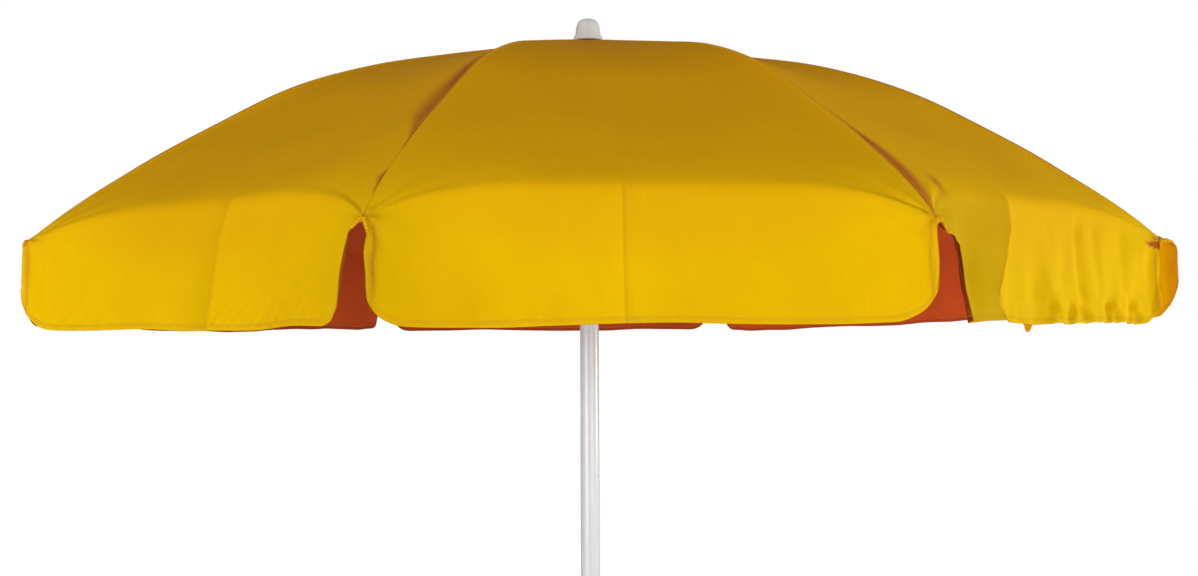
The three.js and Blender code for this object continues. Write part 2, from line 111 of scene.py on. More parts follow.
# ------------------------------------------------------------------ materials
def new_material(name):
    m = bpy.data.materials.new(name)
    m.use_nodes = True
    nt = m.node_tree
    nt.nodes.clear()
    out = nt.nodes.new("ShaderNodeOutputMaterial")
    p = nt.nodes.new("ShaderNodeBsdfPrincipled")
    nt.links.new(p.outputs[0], out.inputs[0])
    return m, nt, p, out


def node(nt, kind, **values):
    n = nt.nodes.new(kind)
    for k, v in values.items():
        if k.startswith("_"):
            setattr(n, k[1:], v)
        else:
            n.inputs[k].default_value = v
    return n


def ramp(nt, stops, src):
    n = nt.nodes.new("ShaderNodeValToRGB")
    e = n.color_ramp.elements
    while len(e) < len(stops):
        e.new(0.5)
    for el, (pos, col) in zip(e, stops):
        el.position = pos
        el.color = (*col, 1) if len(col) == 3 else col
    nt.links.new(src, n.inputs[0])
    return n.outputs[0]


def mix(nt, a, b, fac, blend="MIX"):
    n = nt.nodes.new("ShaderNodeMix")
    n.data_type = "RGBA"
    n.blend_type = blend
    for sock, v in ((n.inputs[0], fac), (n.inputs[6], a), (n.inputs[7], b)):
        if isinstance(v, (int, float)):
            sock.default_value = v
        elif isinstance(v, tuple):
            sock.default_value = (*v, 1) if len(v) == 3 else v
        else:
            nt.links.new(v, sock)
    return n.outputs[2]


def math_node(nt, op, a, b=None, c=None, clamp=False):
    n = nt.nodes.new("ShaderNodeMath")
    n.operation = op
    n.use_clamp = clamp
    for i, v in enumerate((a, b, c)):
        if v is None:
            continue
        if isinstance(v, (int, float)):
            n.inputs[i].default_value = v
        else:
            nt.links.new(v, n.inputs[i])
    return n.outputs[0]


def fabric_material(name, colours, crown, shade, sheer, sheer_colour, weave=0.22):
    """Plain-woven canopy cloth. UV is in metres: U across the gore, V from the crown down."""
    m, nt, p, out = new_material(name)
    uv = node(nt, "ShaderNodeUVMap", _uv_map="UVMap")
    scale = nt.nodes.new("ShaderNodeVectorMath")
    scale.operation = "SCALE"
    scale.inputs["Scale"].default_value = 1000.0  # to millimetres
    nt.links.new(uv.outputs[0], scale.inputs[0])
    sep = nt.nodes.new("ShaderNodeSeparateXYZ")
    nt.links.new(scale.outputs[0], sep.inputs[0])
    u, v = sep.outputs[0], sep.outputs[1]
    # threads: warp and weft at 1.1 mm with an over-and-under swap
    wave_u = math_node(nt, "SINE", math_node(nt, "MULTIPLY", u, 2 * math.pi / 1.15))
    wave_v = math_node(nt, "SINE", math_node(nt, "MULTIPLY", v, 2 * math.pi / 1.15))
    over = math_node(nt, "MULTIPLY", wave_u, wave_v)
    # slubs: threads that are thicker for a few centimetres
    slub_map = nt.nodes.new("ShaderNodeMapping")
    slub_map.inputs["Scale"].default_value = (0.02, 0.55, 1)
    nt.links.new(scale.outputs[0], slub_map.inputs[0])
    slub_a = node(nt, "ShaderNodeTexNoise", Scale=1.0, Detail=2.0)
    nt.links.new(slub_map.outputs[0], slub_a.inputs["Vector"])
    slub_map2 = nt.nodes.new("ShaderNodeMapping")
    slub_map2.inputs["Scale"].default_value = (0.55, 0.02, 1)
    nt.links.new(scale.outputs[0], slub_map2.inputs[0])
    slub_b = node(nt, "ShaderNodeTexNoise", Scale=1.0, Detail=2.0)
    nt.links.new(slub_map2.outputs[0], slub_b.inputs["Vector"])
    slubs = math_node(nt, "ADD", slub_a.outputs[0], slub_b.outputs[0])
    # broad mottling where the cloth is slack or sun-worn
    geo = nt.nodes.new("ShaderNodeTexCoord")
    broad = node(nt, "ShaderNodeTexNoise", Scale=3.2, Detail=4.0, Roughness=0.55)
    nt.links.new(geo.outputs["Object"], broad.inputs["Vector"])
    fine = node(nt, "ShaderNodeTexNoise", Scale=46.0, Detail=3.0, Roughness=0.6)
    nt.links.new(geo.outputs["Object"], fine.inputs["Vector"])
    base = ramp(nt, [(0.3, colours[0]), (0.5, colours[1]), (0.72, colours[2])], broad.outputs[0])
    # painted shade: the cloth is drawn darker and browner towards the crown, the top of the canopy, which gets less
    # light
    up = ramp(nt, [(0.0, (1, 1, 1)), (0.40, (0.80, 0.80, 0.80)), (0.80, (0.52, 0.52, 0.52)), (0.93, (0.26, 0.26, 0.26)), (0.985, (0, 0, 0))], math_node(nt, "MULTIPLY", v, 0.001, clamp=True))
    base = mix(nt, base, crown, up)
    # painted shade: darker, redder cloth where it falls away beside a seam, along hems and in gathers, from the shade
    # attribute, broken up a little
    band = nt.nodes.new("ShaderNodeAttribute")
    band.attribute_name = "shade"
    blotch = math_node(nt, "MULTIPLY_ADD", broad.outputs[0], 1.1, 0.40)
    base = mix(nt, base, shade, math_node(nt, "MULTIPLY", band.outputs["Fac"], blotch, clamp=True))
    base = mix(nt, base, tuple(c * 0.9 for c in colours[1]), math_node(nt, "MULTIPLY", math_node(nt, "SUBTRACT", fine.outputs[0], 0.45, clamp=True), 0.55), "MIX")
    # the tone attribute lightens or darkens the cloth: painted light and shade beside creases
    tone = nt.nodes.new("ShaderNodeAttribute")
    tone.attribute_name = "tone"
    thread = math_node(nt, "MULTIPLY", math_node(nt, "MULTIPLY_ADD", over, 0.05, 0.97), tone.outputs["Fac"])
    slubbed = math_node(nt, "MULTIPLY", thread, math_node(nt, "MULTIPLY_ADD", slubs, 0.09, 0.91))
    gray = nt.nodes.new("ShaderNodeCombineXYZ")
    for i in range(3):
        nt.links.new(slubbed, gray.inputs[i])
    base = mix(nt, base, gray.outputs[0], 1.0, "MULTIPLY")
    nt.links.new(base, p.inputs["Base Color"])
    rough = math_node(nt, "MULTIPLY_ADD", fine.outputs[0], 0.12, 0.72)
    nt.links.new(rough, p.inputs["Roughness"])
    p.inputs["Specular IOR Level"].default_value = 0.03
    bump_a = node(nt, "ShaderNodeBump", Strength=weave, Distance=0.0002)
    nt.links.new(over, bump_a.inputs["Height"])
    bump_b = node(nt, "ShaderNodeBump", Strength=0.25, Distance=0.0015)
    nt.links.new(fine.outputs[0], bump_b.inputs["Height"])
    nt.links.new(bump_a.outputs[0], bump_b.inputs["Normal"])
    bump_c = node(nt, "ShaderNodeBump", Strength=0.15, Distance=0.0003)
    nt.links.new(slubs, bump_c.inputs["Height"])
    nt.links.new(bump_b.outputs[0], bump_c.inputs["Normal"])
    nt.links.new(bump_c.outputs[0], p.inputs["Normal"])
    if sheer:
        t = nt.nodes.new("ShaderNodeBsdfTranslucent")
        t.inputs[0].default_value = (*sheer_colour, 1)
        nt.links.new(bump_c.outputs[0], t.inputs[1])
        ms = nt.nodes.new("ShaderNodeMixShader")
        ms.inputs[0].default_value = sheer
        nt.links.new(p.outputs[0], ms.inputs[1])
        nt.links.new(t.outputs[0], ms.inputs[2])
        nt.links.new(ms.outputs[0], out.inputs[0])
    return m


def hard_material(name, colour, rough, metallic=0.0, vary=0.06, grain=60.0, bump=0.05, spec=0.5, brushed=False, coat=0.0, wear=None):
    m, nt, p, out = new_material(name)
    geo = nt.nodes.new("ShaderNodeTexCoord")
    mapping = nt.nodes.new("ShaderNodeMapping")
    mapping.inputs["Scale"].default_value = (1, 1, 0.03) if brushed else (1, 1, 1)
    nt.links.new(geo.outputs["Object"], mapping.inputs[0])
    n1 = node(nt, "ShaderNodeTexNoise", Scale=grain, Detail=5.0, Roughness=0.6)
    nt.links.new(mapping.outputs[0], n1.inputs["Vector"])
    n2 = node(nt, "ShaderNodeTexNoise", Scale=7.0, Detail=3.0, Roughness=0.5)
    nt.links.new(geo.outputs["Object"], n2.inputs["Vector"])
    dark = tuple(c * (1 - vary) for c in colour)
    light = tuple(min(1, c * (1 + vary * 0.6)) for c in colour)
    base = ramp(nt, [(0.35, dark), (0.65, light)], n2.outputs[0])
    base = mix(nt, base, tuple(c * (1 - 1.4 * vary) for c in colour), math_node(nt, "MULTIPLY", math_node(nt, "SUBTRACT", n1.outputs[0], 0.5, clamp=True), 1.2))
    if wear:
        bev = node(nt, "ShaderNodeBevel", Radius=0.0012)
        bev.samples = 4
        gn = nt.nodes.new("ShaderNodeNewGeometry")
        dot = nt.nodes.new("ShaderNodeVectorMath")
        dot.operation = "DOT_PRODUCT"
        nt.links.new(bev.outputs[0], dot.inputs[0])
        nt.links.new(gn.outputs["Normal"], dot.inputs[1])
        edge = math_node(nt, "MULTIPLY", math_node(nt, "SUBTRACT", 1.0, dot.outputs["Value"], clamp=True), 5.0, clamp=True)
        base = mix(nt, base, wear, math_node(nt, "MULTIPLY", edge, math_node(nt, "MULTIPLY_ADD", n1.outputs[0], 1.6, -0.4, clamp=True)))
    nt.links.new(base, p.inputs["Base Color"])
    nt.links.new(math_node(nt, "MULTIPLY_ADD", n1.outputs[0], 0.16, rough - 0.08), p.inputs["Roughness"])
    p.inputs["Metallic"].default_value = metallic
    p.inputs["Specular IOR Level"].default_value = spec
    p.inputs["Coat Weight"].default_value = coat
    p.inputs["Coat Roughness"].default_value = 0.12
    b = node(nt, "ShaderNodeBump", Strength=bump, Distance=0.0006)
    nt.links.new(n1.outputs[0], b.inputs["Height"])
    nt.links.new(b.outputs[0], p.inputs["Normal"])
    return m


# The crown colour given to each cloth is painted shade towards the top, and the shade colour is painted shade beside
# seams, hems and gathers.
M_OUT = fabric_material("canopy_cloth_outside", [(0.80, 0.470, 0.0005), (0.85, 0.507, 0.0005), (0.88, 0.530, 0.0008)], (0.73, 0.31, 0.004), (0.43, 0.082, 0.014), 0.06, (0.9, 0.42, 0.005))
M_OUT_THIN = fabric_material("canopy_cloth_outside_thin", [(0.80, 0.470, 0.0005), (0.85, 0.507, 0.0005), (0.88, 0.530, 0.0008)], (0.73, 0.31, 0.004), (0.43, 0.082, 0.014), 0.66, (0.99, 0.66, 0.003))
# The inside cloth's rust colours are painted shade under the canopy; its lit copy's amber is painted light coming
# through the cloth on one flap.
M_IN = fabric_material("canopy_cloth_inside", [(0.52, 0.080, 0.020), (0.58, 0.092, 0.022), (0.62, 0.105, 0.022)], (0.46, 0.070, 0.022), (0.38, 0.055, 0.018), 0.26, (0.95, 0.30, 0.01))
M_IN_LIT = fabric_material("canopy_cloth_inside_lit", [(0.88, 0.46, 0.002), (0.92, 0.49, 0.002), (0.94, 0.51, 0.003)], (0.6, 0.2, 0.004), (0.66, 0.10, 0.006), 0.66, (0.99, 0.68, 0.003))
M_THREAD = hard_material("stitching_thread", (0.80, 0.50, 0.03), 0.7, grain=900, bump=0.3, spec=0.2)
M_POLE = hard_material("pole_white_enamel", (0.70, 0.715, 0.74), 0.30, vary=0.025, grain=90, bump=0.03, spec=0.5, coat=0.35)
M_FINIAL = hard_material("finial_moulded_plastic", (0.745, 0.738, 0.725), 0.52, vary=0.10, grain=140, bump=0.18, spec=0.35)
M_GREY = hard_material("pale_grey_moulding", (0.62, 0.62, 0.61), 0.48, vary=0.05, grain=220, bump=0.10, spec=0.4, wear=(0.78, 0.78, 0.77))
M_TIP = hard_material("tip_moulding", (0.74, 0.73, 0.70), 0.46, vary=0.05, grain=260, bump=0.08, spec=0.4)
M_STEEL = hard_material("rib_steel", (0.56, 0.57, 0.59), 0.34, metallic=1.0, vary=0.10, grain=420, bump=0.06, brushed=False, spec=0.5)
M_WIRE = hard_material("bright_wire", (0.66, 0.67, 0.69), 0.26, metallic=1.0, vary=0.06, grain=500, bump=0.04)
M_DARK = hard_material("dark_grip_moulding", (0.055, 0.058, 0.064), 0.5, vary=0.18, grain=300, bump=0.16, spec=0.45, wear=(0.12, 0.12, 0.125))


# ------------------------------------------------------------------ mesh helpers
def mesh_object(name, verts_mm, faces, mats, face_mats=None, uvs=None, shade=True, sharp=None):
    me = bpy.data.meshes.new(name)
    me.from_pydata((np.asarray(verts_mm) * 0.001).tolist(), [], faces)
    for m in mats:
        me.materials.append(m)
    if face_mats is not None:
        me.polygons.foreach_set("material_index", np.asarray(face_mats, np.int32))
    if uvs is not None:
        layer = me.uv_layers.new(name="UVMap")
        loops = np.empty(len(me.loops), np.int32)
        me.loops.foreach_get("vertex_index", loops)
        layer.data.foreach_set("uv", (np.asarray(uvs)[loops]).astype(np.float32).ravel())
    if shade:
        me.shade_smooth()
    me.update()
    ob = bpy.data.objects.new(name, me)
    bpy.context.scene.collection.objects.link(ob)
    if sharp is not None:
        me.set_sharp_from_angle(angle=math.radians(sharp))
    return ob


def lathe(name, profile, mats, segments=96, z0=0.0, sharp=35, centre=(0, 0)):
    """Solid of revolution about Z from (radius, z) points in mm. A profile that starts and ends off the axis is closed on itself."""
    pts = [(float(r), float(z) + z0) for r, z in profile]
    closed = pts[0][0] > 1e-6 and pts[-1][0] > 1e-6
    verts, rings = [], []
    for r, z in pts:
        if r < 1e-6:
            rings.append([len(verts)])
            verts.append((centre[0], centre[1], z))
        else:
            rings.append(list(range(len(verts), len(verts) + segments)))
            verts += [(centre[0] + r * math.cos(2 * math.pi * i / segments), centre[1] + r * math.sin(2 * math.pi * i / segments), z) for i in range(segments)]
    faces = []
    pairs = list(zip(rings, rings[1:])) + ([(rings[-1], rings[0])] if closed else [])
    for a, b in pairs:
        for i in range(segments):
            j = (i + 1) % segments
            if len(a) == 1 and len(b) == 1:
                continue
            if len(a) == 1:
                faces.append((a[0], b[j], b[i]))
            elif len(b) == 1:
                faces.append((a[i], a[j], b[0]))
            else:
                faces.append((a[i], a[j], b[j], b[i]))
    ob = mesh_object(name, verts, faces, mats, sharp=None)
    bm = bmesh.new()
    bm.from_mesh(ob.data)
    bmesh.ops.recalc_face_normals(bm, faces=bm.faces)
    bm.to_mesh(ob.data)
    bm.free()
    ob.data.shade_smooth()
    ob.data.set_sharp_from_angle(angle=math.radians(sharp))
    return ob


def rounded(profile, radius=0.6, steps=3, closed=False):
    """Profile with its corners rounded, for turned pieces."""
    pts = [Vector(p) for p in profile]
    out = []
    n = len(pts)
    for i, p in enumerate(pts):
        if not closed and i in (0, n - 1):
            out.append(tuple(p))
            continue
        a, b = pts[(i - 1) % n], pts[(i + 1) % n]
        da, db = (a - p), (b - p)
        r = min(radius, da.length * 0.45, db.length * 0.45)
        if r < 1e-4:
            out.append(tuple(p))
            continue
        s, e = p + da.normalized() * r, p + db.normalized() * r
        for k in range(steps + 1):
            t = k / steps
            q = (1 - t) ** 2 * s + 2 * t * (1 - t) * p + t * t * e
            out.append(tuple(q))
    return out


def tube_along(name, points, radius, mats, sides=16, caps=True, flat=None):
    """Round rod along 3-D points in mm. radius may be a list. flat is not used."""
    P = np.asarray(points, float)
    n = len(P)
    R = np.full(n, radius, float) if np.isscalar(radius) else np.asarray(radius, float)
    T = np.gradient(P, axis=0)
    T /= np.linalg.norm(T, axis=1)[:, None]
    up = np.array([0, 0, 1.0]) if abs(T[0][2]) < 0.9 else np.array([1.0, 0, 0])
    verts, faces = [], []
    side = np.cross(T[0], up)
    side /= np.linalg.norm(side)
    for i in range(n):
        side = side - T[i] * (side @ T[i])
        side /= np.linalg.norm(side)
        nrm = np.cross(side, T[i])
        for j in range(sides):
            a = 2 * math.pi * j / sides
            verts.append(P[i] + R[i] * (math.cos(a) * side + math.sin(a) * nrm))
    for i in range(n - 1):
        for j in range(sides):
            k = (j + 1) % sides
            faces.append((i * sides + j, i * sides + k, (i + 1) * sides + k, (i + 1) * sides + j))
    if caps:
        faces.append(tuple(range(sides))[::-1])
        faces.append(tuple((n - 1) * sides + j for j in range(sides)))
    ob = mesh_object(name, verts, faces, mats)
    bm = bmesh.new()
    bm.from_mesh(ob.data)
    bmesh.ops.recalc_face_normals(bm, faces=bm.faces)
    bm.to_mesh(ob.data)
    bm.free()
    ob.data.shade_smooth()
    ob.data.set_sharp_from_angle(angle=math.radians(40))
    return ob


def join(objs, name):
    for o in bpy.context.selected_objects:
        o.select_set(False)
    for o in objs:
        o.select_set(True)
    bpy.context.view_layer.objects.active = objs[0]
    bpy.ops.object.join()
    ob = bpy.context.view_layer.objects.active
    ob.name = name
    ob.select_set(False)
    return ob


def turn_z(ob, degrees):
    ob.data.transform(Matrix.Rotation(math.radians(degrees), 4, "Z"))
    ob.data.update()
    return ob


# ------------------------------------------------------------------ the canopy sheet
def columns():
    """t across a gore, with lines at the edges of the turned hem."""
    off = [0, 0.8, 1.8, 7.2, 8.6, 10.2, 13, 17, 22, 28, 34, 40, 46]
    inner = list(np.linspace(51, 353.0, 60))[:-1]
    half = [1 - o / 352.8 for o in off + inner]
    return np.array([-x for x in half] + [0.0] + half[::-1])


T_COLS = columns()
PANEL_ROWS = 112
HEM_OFF = np.array([0, 0.8, 1.8, 7.2, 8.6, 10.2, 13.0])


def crease_line(k, v):
    """Across-gore place (mm) of the pressed crease in flap k, at share v of the flap's height."""
    lines = {
        7: [(0, -33), (1, -33)],
        6: [(0, 51), (0.3, 33), (1, 32)],
        8: [(0, -74), (0.25, -68), (0.5, -92), (0.8, -150), (0.9, -154), (1, -138)],
        1: [(0, 12), (0.5, 4), (1, 16)],
        2: [(0, -10), (0.5, 2), (1, -6)],
        3: [(0, 22), (0.4, 14), (1, 20)],
        4: [(0, -16), (0.5, -22), (1, -14)],
        5: [(0, 8), (0.5, 16), (1, 6)],
    }[k]
    return np.interp(v, [a for a, _ in lines], [b for _, b in lines])


def hem_lift(k, t):
    """How far (mm) the hem of flap k sits above the drawn length, across it: the flaps were not cut quite alike."""
    table = {
        1: [(-1, 12), (0.38, 12), (0.50, 8), (0.66, -9), (0.78, -7), (0.93, 2), (1, 8)],
        2: [(-1, 18), (-0.62, 16), (-0.17, 5), (0.4, 0), (1, -1)],
        3: [(-1, 0), (0, 1), (1, 2)],
        4: [(-1, 7), (0, 9), (1, 9)],
        5: [(-1, 13), (0, 14), (1, 12)],
        6: [(-1, 6), (0, 3), (1, 2)],
        7: [(-1, 0), (0, 1), (1, 3.5)],
        8: [(-1, 5), (0, 4), (1, 3)],
    }[k]
    return np.interp(t, [a for a, _ in table], [b for _, b in table])


def edge_in(k, side):
    """How far (mm) a flap's side edge stands in from the seam line, down from the corner: distances and insets."""
    table = {
        (7, -1): [(0, 0), (8, 3), (20, 7), (42, 2), (80, 3), (110, 4), (140, 6)],
        (7, 1): [(0, 0), (8, 1), (16, 3), (30, 4), (60, 2), (100, 3), (140, 8)],
        (6, 1): [(0, 0), (8, 0.5), (13, 5), (20, 10), (34, 11), (60, 14), (90, 19), (110, 24), (140, 36)],
        (6, -1): [(0, 0), (8, 3), (30, 6), (80, 9), (140, 12)],
        (8, -1): [(0, 0), (3, 5), (6, 14), (10, 26), (16, 37), (30, 46), (60, 53), (100, 60), (140, 64)],
        (8, 1): [(0, 0), (8, 8), (20, 14), (60, 16), (140, 20)],
    }
    rows = table.get((k, side), [(0, 0), (8, 5), (22, 9), (60, 11), (100, 13), (140, 16)])
    return [a for a, _ in rows], [b for _, b in rows]


def gore_grid(k):
    """Outer face of gore k in its own frame (mm, X outward in the middle plane, Z from the apex), as rows down columns across.
    Returns panel rows, flap rows, uv and hem masks."""
    rng = np.random.RandomState(40 + 7 * k)
    t = T_COLS
    nt_ = len(t)
    step = 3.0
    flare_l, flare_r = {6: (18, 24), 5: (22, 4), 1: (33, 22), 8: (22, 7), 7: (22, 22)}.get(k, (24, 24))
    flare = np.where(t < 0, flare_l, flare_r) * np.abs(t) ** 2 + 20 * (1 - np.abs(t) ** 2)
    strong = {8: 1.55, 6: 0.95, 7: 0.55}.get(k, 1.0)
    # dense profile of each column: panel up to the bend line, then the flap down to the hem
    s_end = SEAM_LEN - ARCH * (1 - np.abs(t) ** 5.0)
    n_panel = 330
    w = np.linspace(0, 1, n_panel)
    s = 6 + (s_end[None, :] - 6) * w[:, None]
    r = radius_at(s)
    d = drop_of(r)
    sl = slope_at(r)
    u = s / SEAM_LEN
    hollow = 9.0 * (1 - np.abs(t)[None, :] ** 2.0) * np.sin(np.pi * np.clip(u, 0, 1)) ** 1.3
    nn = np.hypot(1, sl)
    x = r * math.cos(HALF) - hollow * sl / nn
    y = t[None, :] * r * math.sin(HALF)
    z = -(d + hollow / nn)
    # flap
    half = TIP_R * math.sin(HALF)
    hl, hr = {7: (14, 6), 6: (12, 20), 8: (16, 10)}.get(k, (14, 14))
    cl, cr = {7: (44, 50), 6: (44, 30), 8: (12, 40), 1: (46, 32)}.get(k, (34 + rng.uniform(-10, 8), 34 + rng.uniform(-10, 8)))
    inset = np.where(t < 0, hl, hr)
    corner = np.where(t < 0, cl, cr)
    yh = t * (half - inset)
    over = np.maximum(0, np.abs(yh) - (half - inset - corner))
    rise = corner - np.sqrt(np.maximum(0, corner**2 - np.minimum(over, corner) ** 2))
    zh = -(354 + FLAP_DROP) + rise * 0.96 + 2.2 * np.sin(t * 5 + rng.uniform(0, 6)) * (1 - t**4)
    zh = zh + hem_lift(k, t)
    xh = 852 + flare - 40 * (1 - np.abs(t) ** 3.0) + 2.5 * np.sin(t * 3.1 + rng.uniform(0, 6)) * (1 - t**4)
    bx, by, bz = x[-1], y[-1], z[-1]
    n_flap = 120
    v = np.linspace(0, 1, n_flap + 1)[1:, None]
    h = v * FLAP_DROP
    # a side edge leaves the gathered corner sideways and then runs down
    edge = np.abs(t)[None, :] ** (5 if k == 8 else 10)
    quick = 1 - np.exp(-h / np.where(t[None, :] < 0, 7.0 if k in (1, 6) else 13.0, 13.0))
    out_at = edge * (0.62 * quick + 0.38 * v)
    if k == 1:  # this corner stands out early and hangs back in
        out_at = np.where(t[None, :] < 0, edge * quick * np.interp(v, [0, 0.3, 0.6, 0.85, 1], [0.90, 0.95, 0.96, 0.93, 0.86]), out_at)
    fx = bx + (xh - bx) * ((1 - edge) * (0.55 * v + 0.45 * v**2) + out_at)
    fz = bz + (zh - bz) * v
    fallen = bz - fz
    side_in = np.where(t[None, :] < 0, np.interp(fallen, *edge_in(k, -1)), np.interp(fallen, *edge_in(k, 1)))
    near = np.abs(t)[None, :] ** 3
    fy = by + (yh - by) * ((1 - near) * (0.35 * v + 0.65 * v**2)) + near * ((yh + np.sign(t) * inset) * (1 - 0.0 * v) - np.sign(t)[None, :] * side_in - by)
    X, Y, Z = np.vstack([x, fx]), np.vstack([y, fy]), np.vstack([z, fz])
    P = np.stack([X, Y, Z], axis=-1)
    # soften the bend: smooth along each column, by distance, near the bend line only
    arc = np.concatenate([np.zeros((1, nt_)), np.cumsum(np.linalg.norm(np.diff(P, axis=0), axis=2), axis=0)])
    bend = arc[n_panel - 1]
    total = arc[-1]
    N = 440
    out = np.empty((N, nt_, 3))
    A = np.empty((N, nt_))
    for j in range(nt_):
        a = np.linspace(0, total[j], N)
        A[:, j] = a
        q = np.stack([np.interp(a, arc[:, j], P[:, j, c]) for c in range(3)], axis=1)
        da = a[1] - a[0]
        sigma = 8.5 / da
        half_w = int(4 * sigma)
        ker = np.exp(-0.5 * (np.arange(-half_w, half_w + 1) / sigma) ** 2)
        ker /= ker.sum()
        pad = np.vstack([2 * q[0] - q[1:half_w + 1][::-1], q, 2 * q[-1] - q[-half_w - 1:-1][::-1]])
        sm = np.stack([np.convolve(pad[:, c], ker, mode="valid") for c in range(3)], axis=1)
        near = np.exp(-(((a - bend[j]) / 34) ** 2))[:, None]
        near = np.where(np.abs(a - bend[j])[:, None] < 14, 1, near)
        tip = 1 - 0.55 * abs(t[j]) ** 12
        out[:, j] = q + (sm - q) * near * tip
    # rows: panel down to the split height, flap from there to the hem
    a_split = np.empty(nt_)
    for j in range(nt_):
        a_split[j] = np.interp(SPLIT, -out[:, j, 2], A[:, j])
    qs = np.linspace(0, 1, PANEL_ROWS)
    ws = 1 - (1 - qs) ** 1.35
    panel_a = a_split[None, :] * ws[:, None]
    span = total - a_split
    inner = np.linspace(0, 1, 26)[:-1]
    rows = [a_split + (total - 13.0 - a_split) * q for q in inner]
    rows += [total - o * np.minimum(1, span / 40) for o in HEM_OFF[::-1]]
    flap_a = np.array(rows)
    rows_a = np.vstack([panel_a, flap_a[1:]])
    G = np.empty((*rows_a.shape, 3))
    for j in range(nt_):
        for c in range(3):
            G[:, j, c] = np.interp(rows_a[:, j], A[:, j], out[:, j, c])
    BEND, TOTAL = np.tile(bend, (G.shape[0], 1)), np.tile(total, (G.shape[0], 1))
    # one column of the grid runs along the pressed crease
    share_row = np.clip((rows_a - bend[None, :]) / (total - bend)[None, :], 0, 1)
    line_y = crease_line(k, share_row)
    jc = int(np.argmin(np.abs(G[-30, :, 1] - line_y[-30, :])))
    lo, hi = max(14, jc - 16), min(nt_ - 15, jc + 16)
    part = slice(lo, hi + 1)
    for i in range(30, G.shape[0]):
        y0 = G[i, part, 1].copy()
        m = jc - lo
        cyi = float(np.interp(0, y0 - line_y[i, part], y0))
        new = np.interp(np.arange(len(y0)), [0, m - 1, m, m + 1, len(y0) - 1], [y0[0], cyi - 1.1, cyi, cyi + 1.1, y0[-1]])
        new = y0 + (new - y0) * float(smooth(np.array(rows_a[i, jc] / bend[jc]), 0.45, 0.75))
        for field in (rows_a, BEND, TOTAL):
            field[i, part] = np.interp(new, y0, field[i, part])
        for c in (0, 2):
            G[i, part, c] = np.interp(new, y0, G[i, part, c])
        G[i, part, 1] = new

    # ---- displacement along the face normal
    def normals(g):
        du, dv = np.gradient(g, axis=0), np.gradient(g, axis=1)
        nrm = np.cross(dv, du)
        nrm /= np.maximum(np.linalg.norm(nrm, axis=2, keepdims=True), 1e-9)
        return -nrm if nrm[20, nt_ // 2, 2] < 0 else nrm

    a = rows_a
    below = a - BEND  # distance past the bend line, negative on the panel
    yy = G[:, :, 1]
    half_here = np.abs(G[:, 0, 1])[:, None] * 0.5 + np.abs(G[:, -1, 1])[:, None] * 0.5
    wl, wr = np.maximum(0, yy - G[:, :1, 1]), np.maximum(0, G[:, -1:, 1] - yy)  # distance from the left and right edges
    wmin = np.minimum(wl, wr)
    share = np.clip(a / BEND, 0, 1)
    on_panel = 1 - smooth(below, -10, 30)
    disp = np.zeros_like(a)
    # cloth falls away beside each rib's ridge
    depth_l = {6: 3.0, 7: 1.4, 8: 3.2}.get(k, 3.6)
    depth_r = {6: 2.0, 7: 1.6, 8: 3.4}.get(k, 3.6)
    body = smooth(share, 0.10, 0.42) * (1 - smooth(share, 0.74, 0.97))
    disp -= body * on_panel * depth_l * (1 - np.exp(-((wl / 13.0) ** 1.3))) * np.exp(-wl / 260)
    disp -= body * on_panel * depth_r * (1 - np.exp(-((wr / 13.0) ** 1.3))) * np.exp(-wr / 260)
    # pulls that fan out of each gathered corner
    for side, dist in ((-1, wl), (1, wr)):
        rho = np.hypot(dist, below * 1.0) + 1e-6
        phi = np.arctan2(below, dist)
        amp = np.exp(-rho / (30 + 10 * strong)) * smooth(rho, 2, 16)
        p1, p2 = rng.uniform(0, 6.28, 2)
        disp += amp * (2.1 * np.sin(5 * phi + p1) + 1.2 * np.sin(9 * phi + p2))
        # a long pull just above the bend line, and the soft roll under it
        line = -(4 + 0.13 * dist)
        pull = np.exp(-(((below - line) / (3.5 + dist * 0.035)) ** 2)) * smooth(dist, 5, 30) * np.exp(-dist / 70)
        disp -= 2.6 * pull
        roll = np.exp(-(((below - 6 + 0.02 * dist) / (9 + dist * 0.05)) ** 2)) * smooth(dist, 8, 40) * np.exp(-dist / 120)
        disp += 1.5 * roll
        line2 = 20 + 0.42 * dist
        pull2 = np.exp(-(((below - line2) / (6 + dist * 0.08)) ** 2)) * smooth(dist, 6, 30) * np.exp(-dist / 55)
        disp -= 1.7 * pull2
        # cloth gathered on the rib's cap
        disp += 1.5 * np.exp(-rho / 11) * np.sin(dist / 1.9 + p1) * smooth(below, -14, -2)
        # the flap's side edge curls and folds
        down = smooth(below, 6, 40)
        fold = np.exp(-(((dist - 19) / 9) ** 2)) * down * (1 - 0.55 * smooth(below, 60, 130))
        disp -= (3.6 + 1.5 * rng.uniform(-1, 1)) * fold * (0.35 if (k, side) == (8, -1) else 1.0)
        disp += 1.3 * np.exp(-((dist / 8) ** 2)) * down * np.sin(below / 17 + rng.uniform(0, 6))
    # soft hanging folds in the flap, deeper towards the hem
    down = smooth(below, 8, 130)
    for i in range(6):
        wl_mm = rng.uniform(70, 210)
        ph, lean = rng.uniform(0, 6.28), rng.uniform(-0.5, 0.5)
        disp += strong * rng.uniform(0.5, 1.5) * down * np.sin(2 * np.pi * (yy + lean * below) / wl_mm + ph)
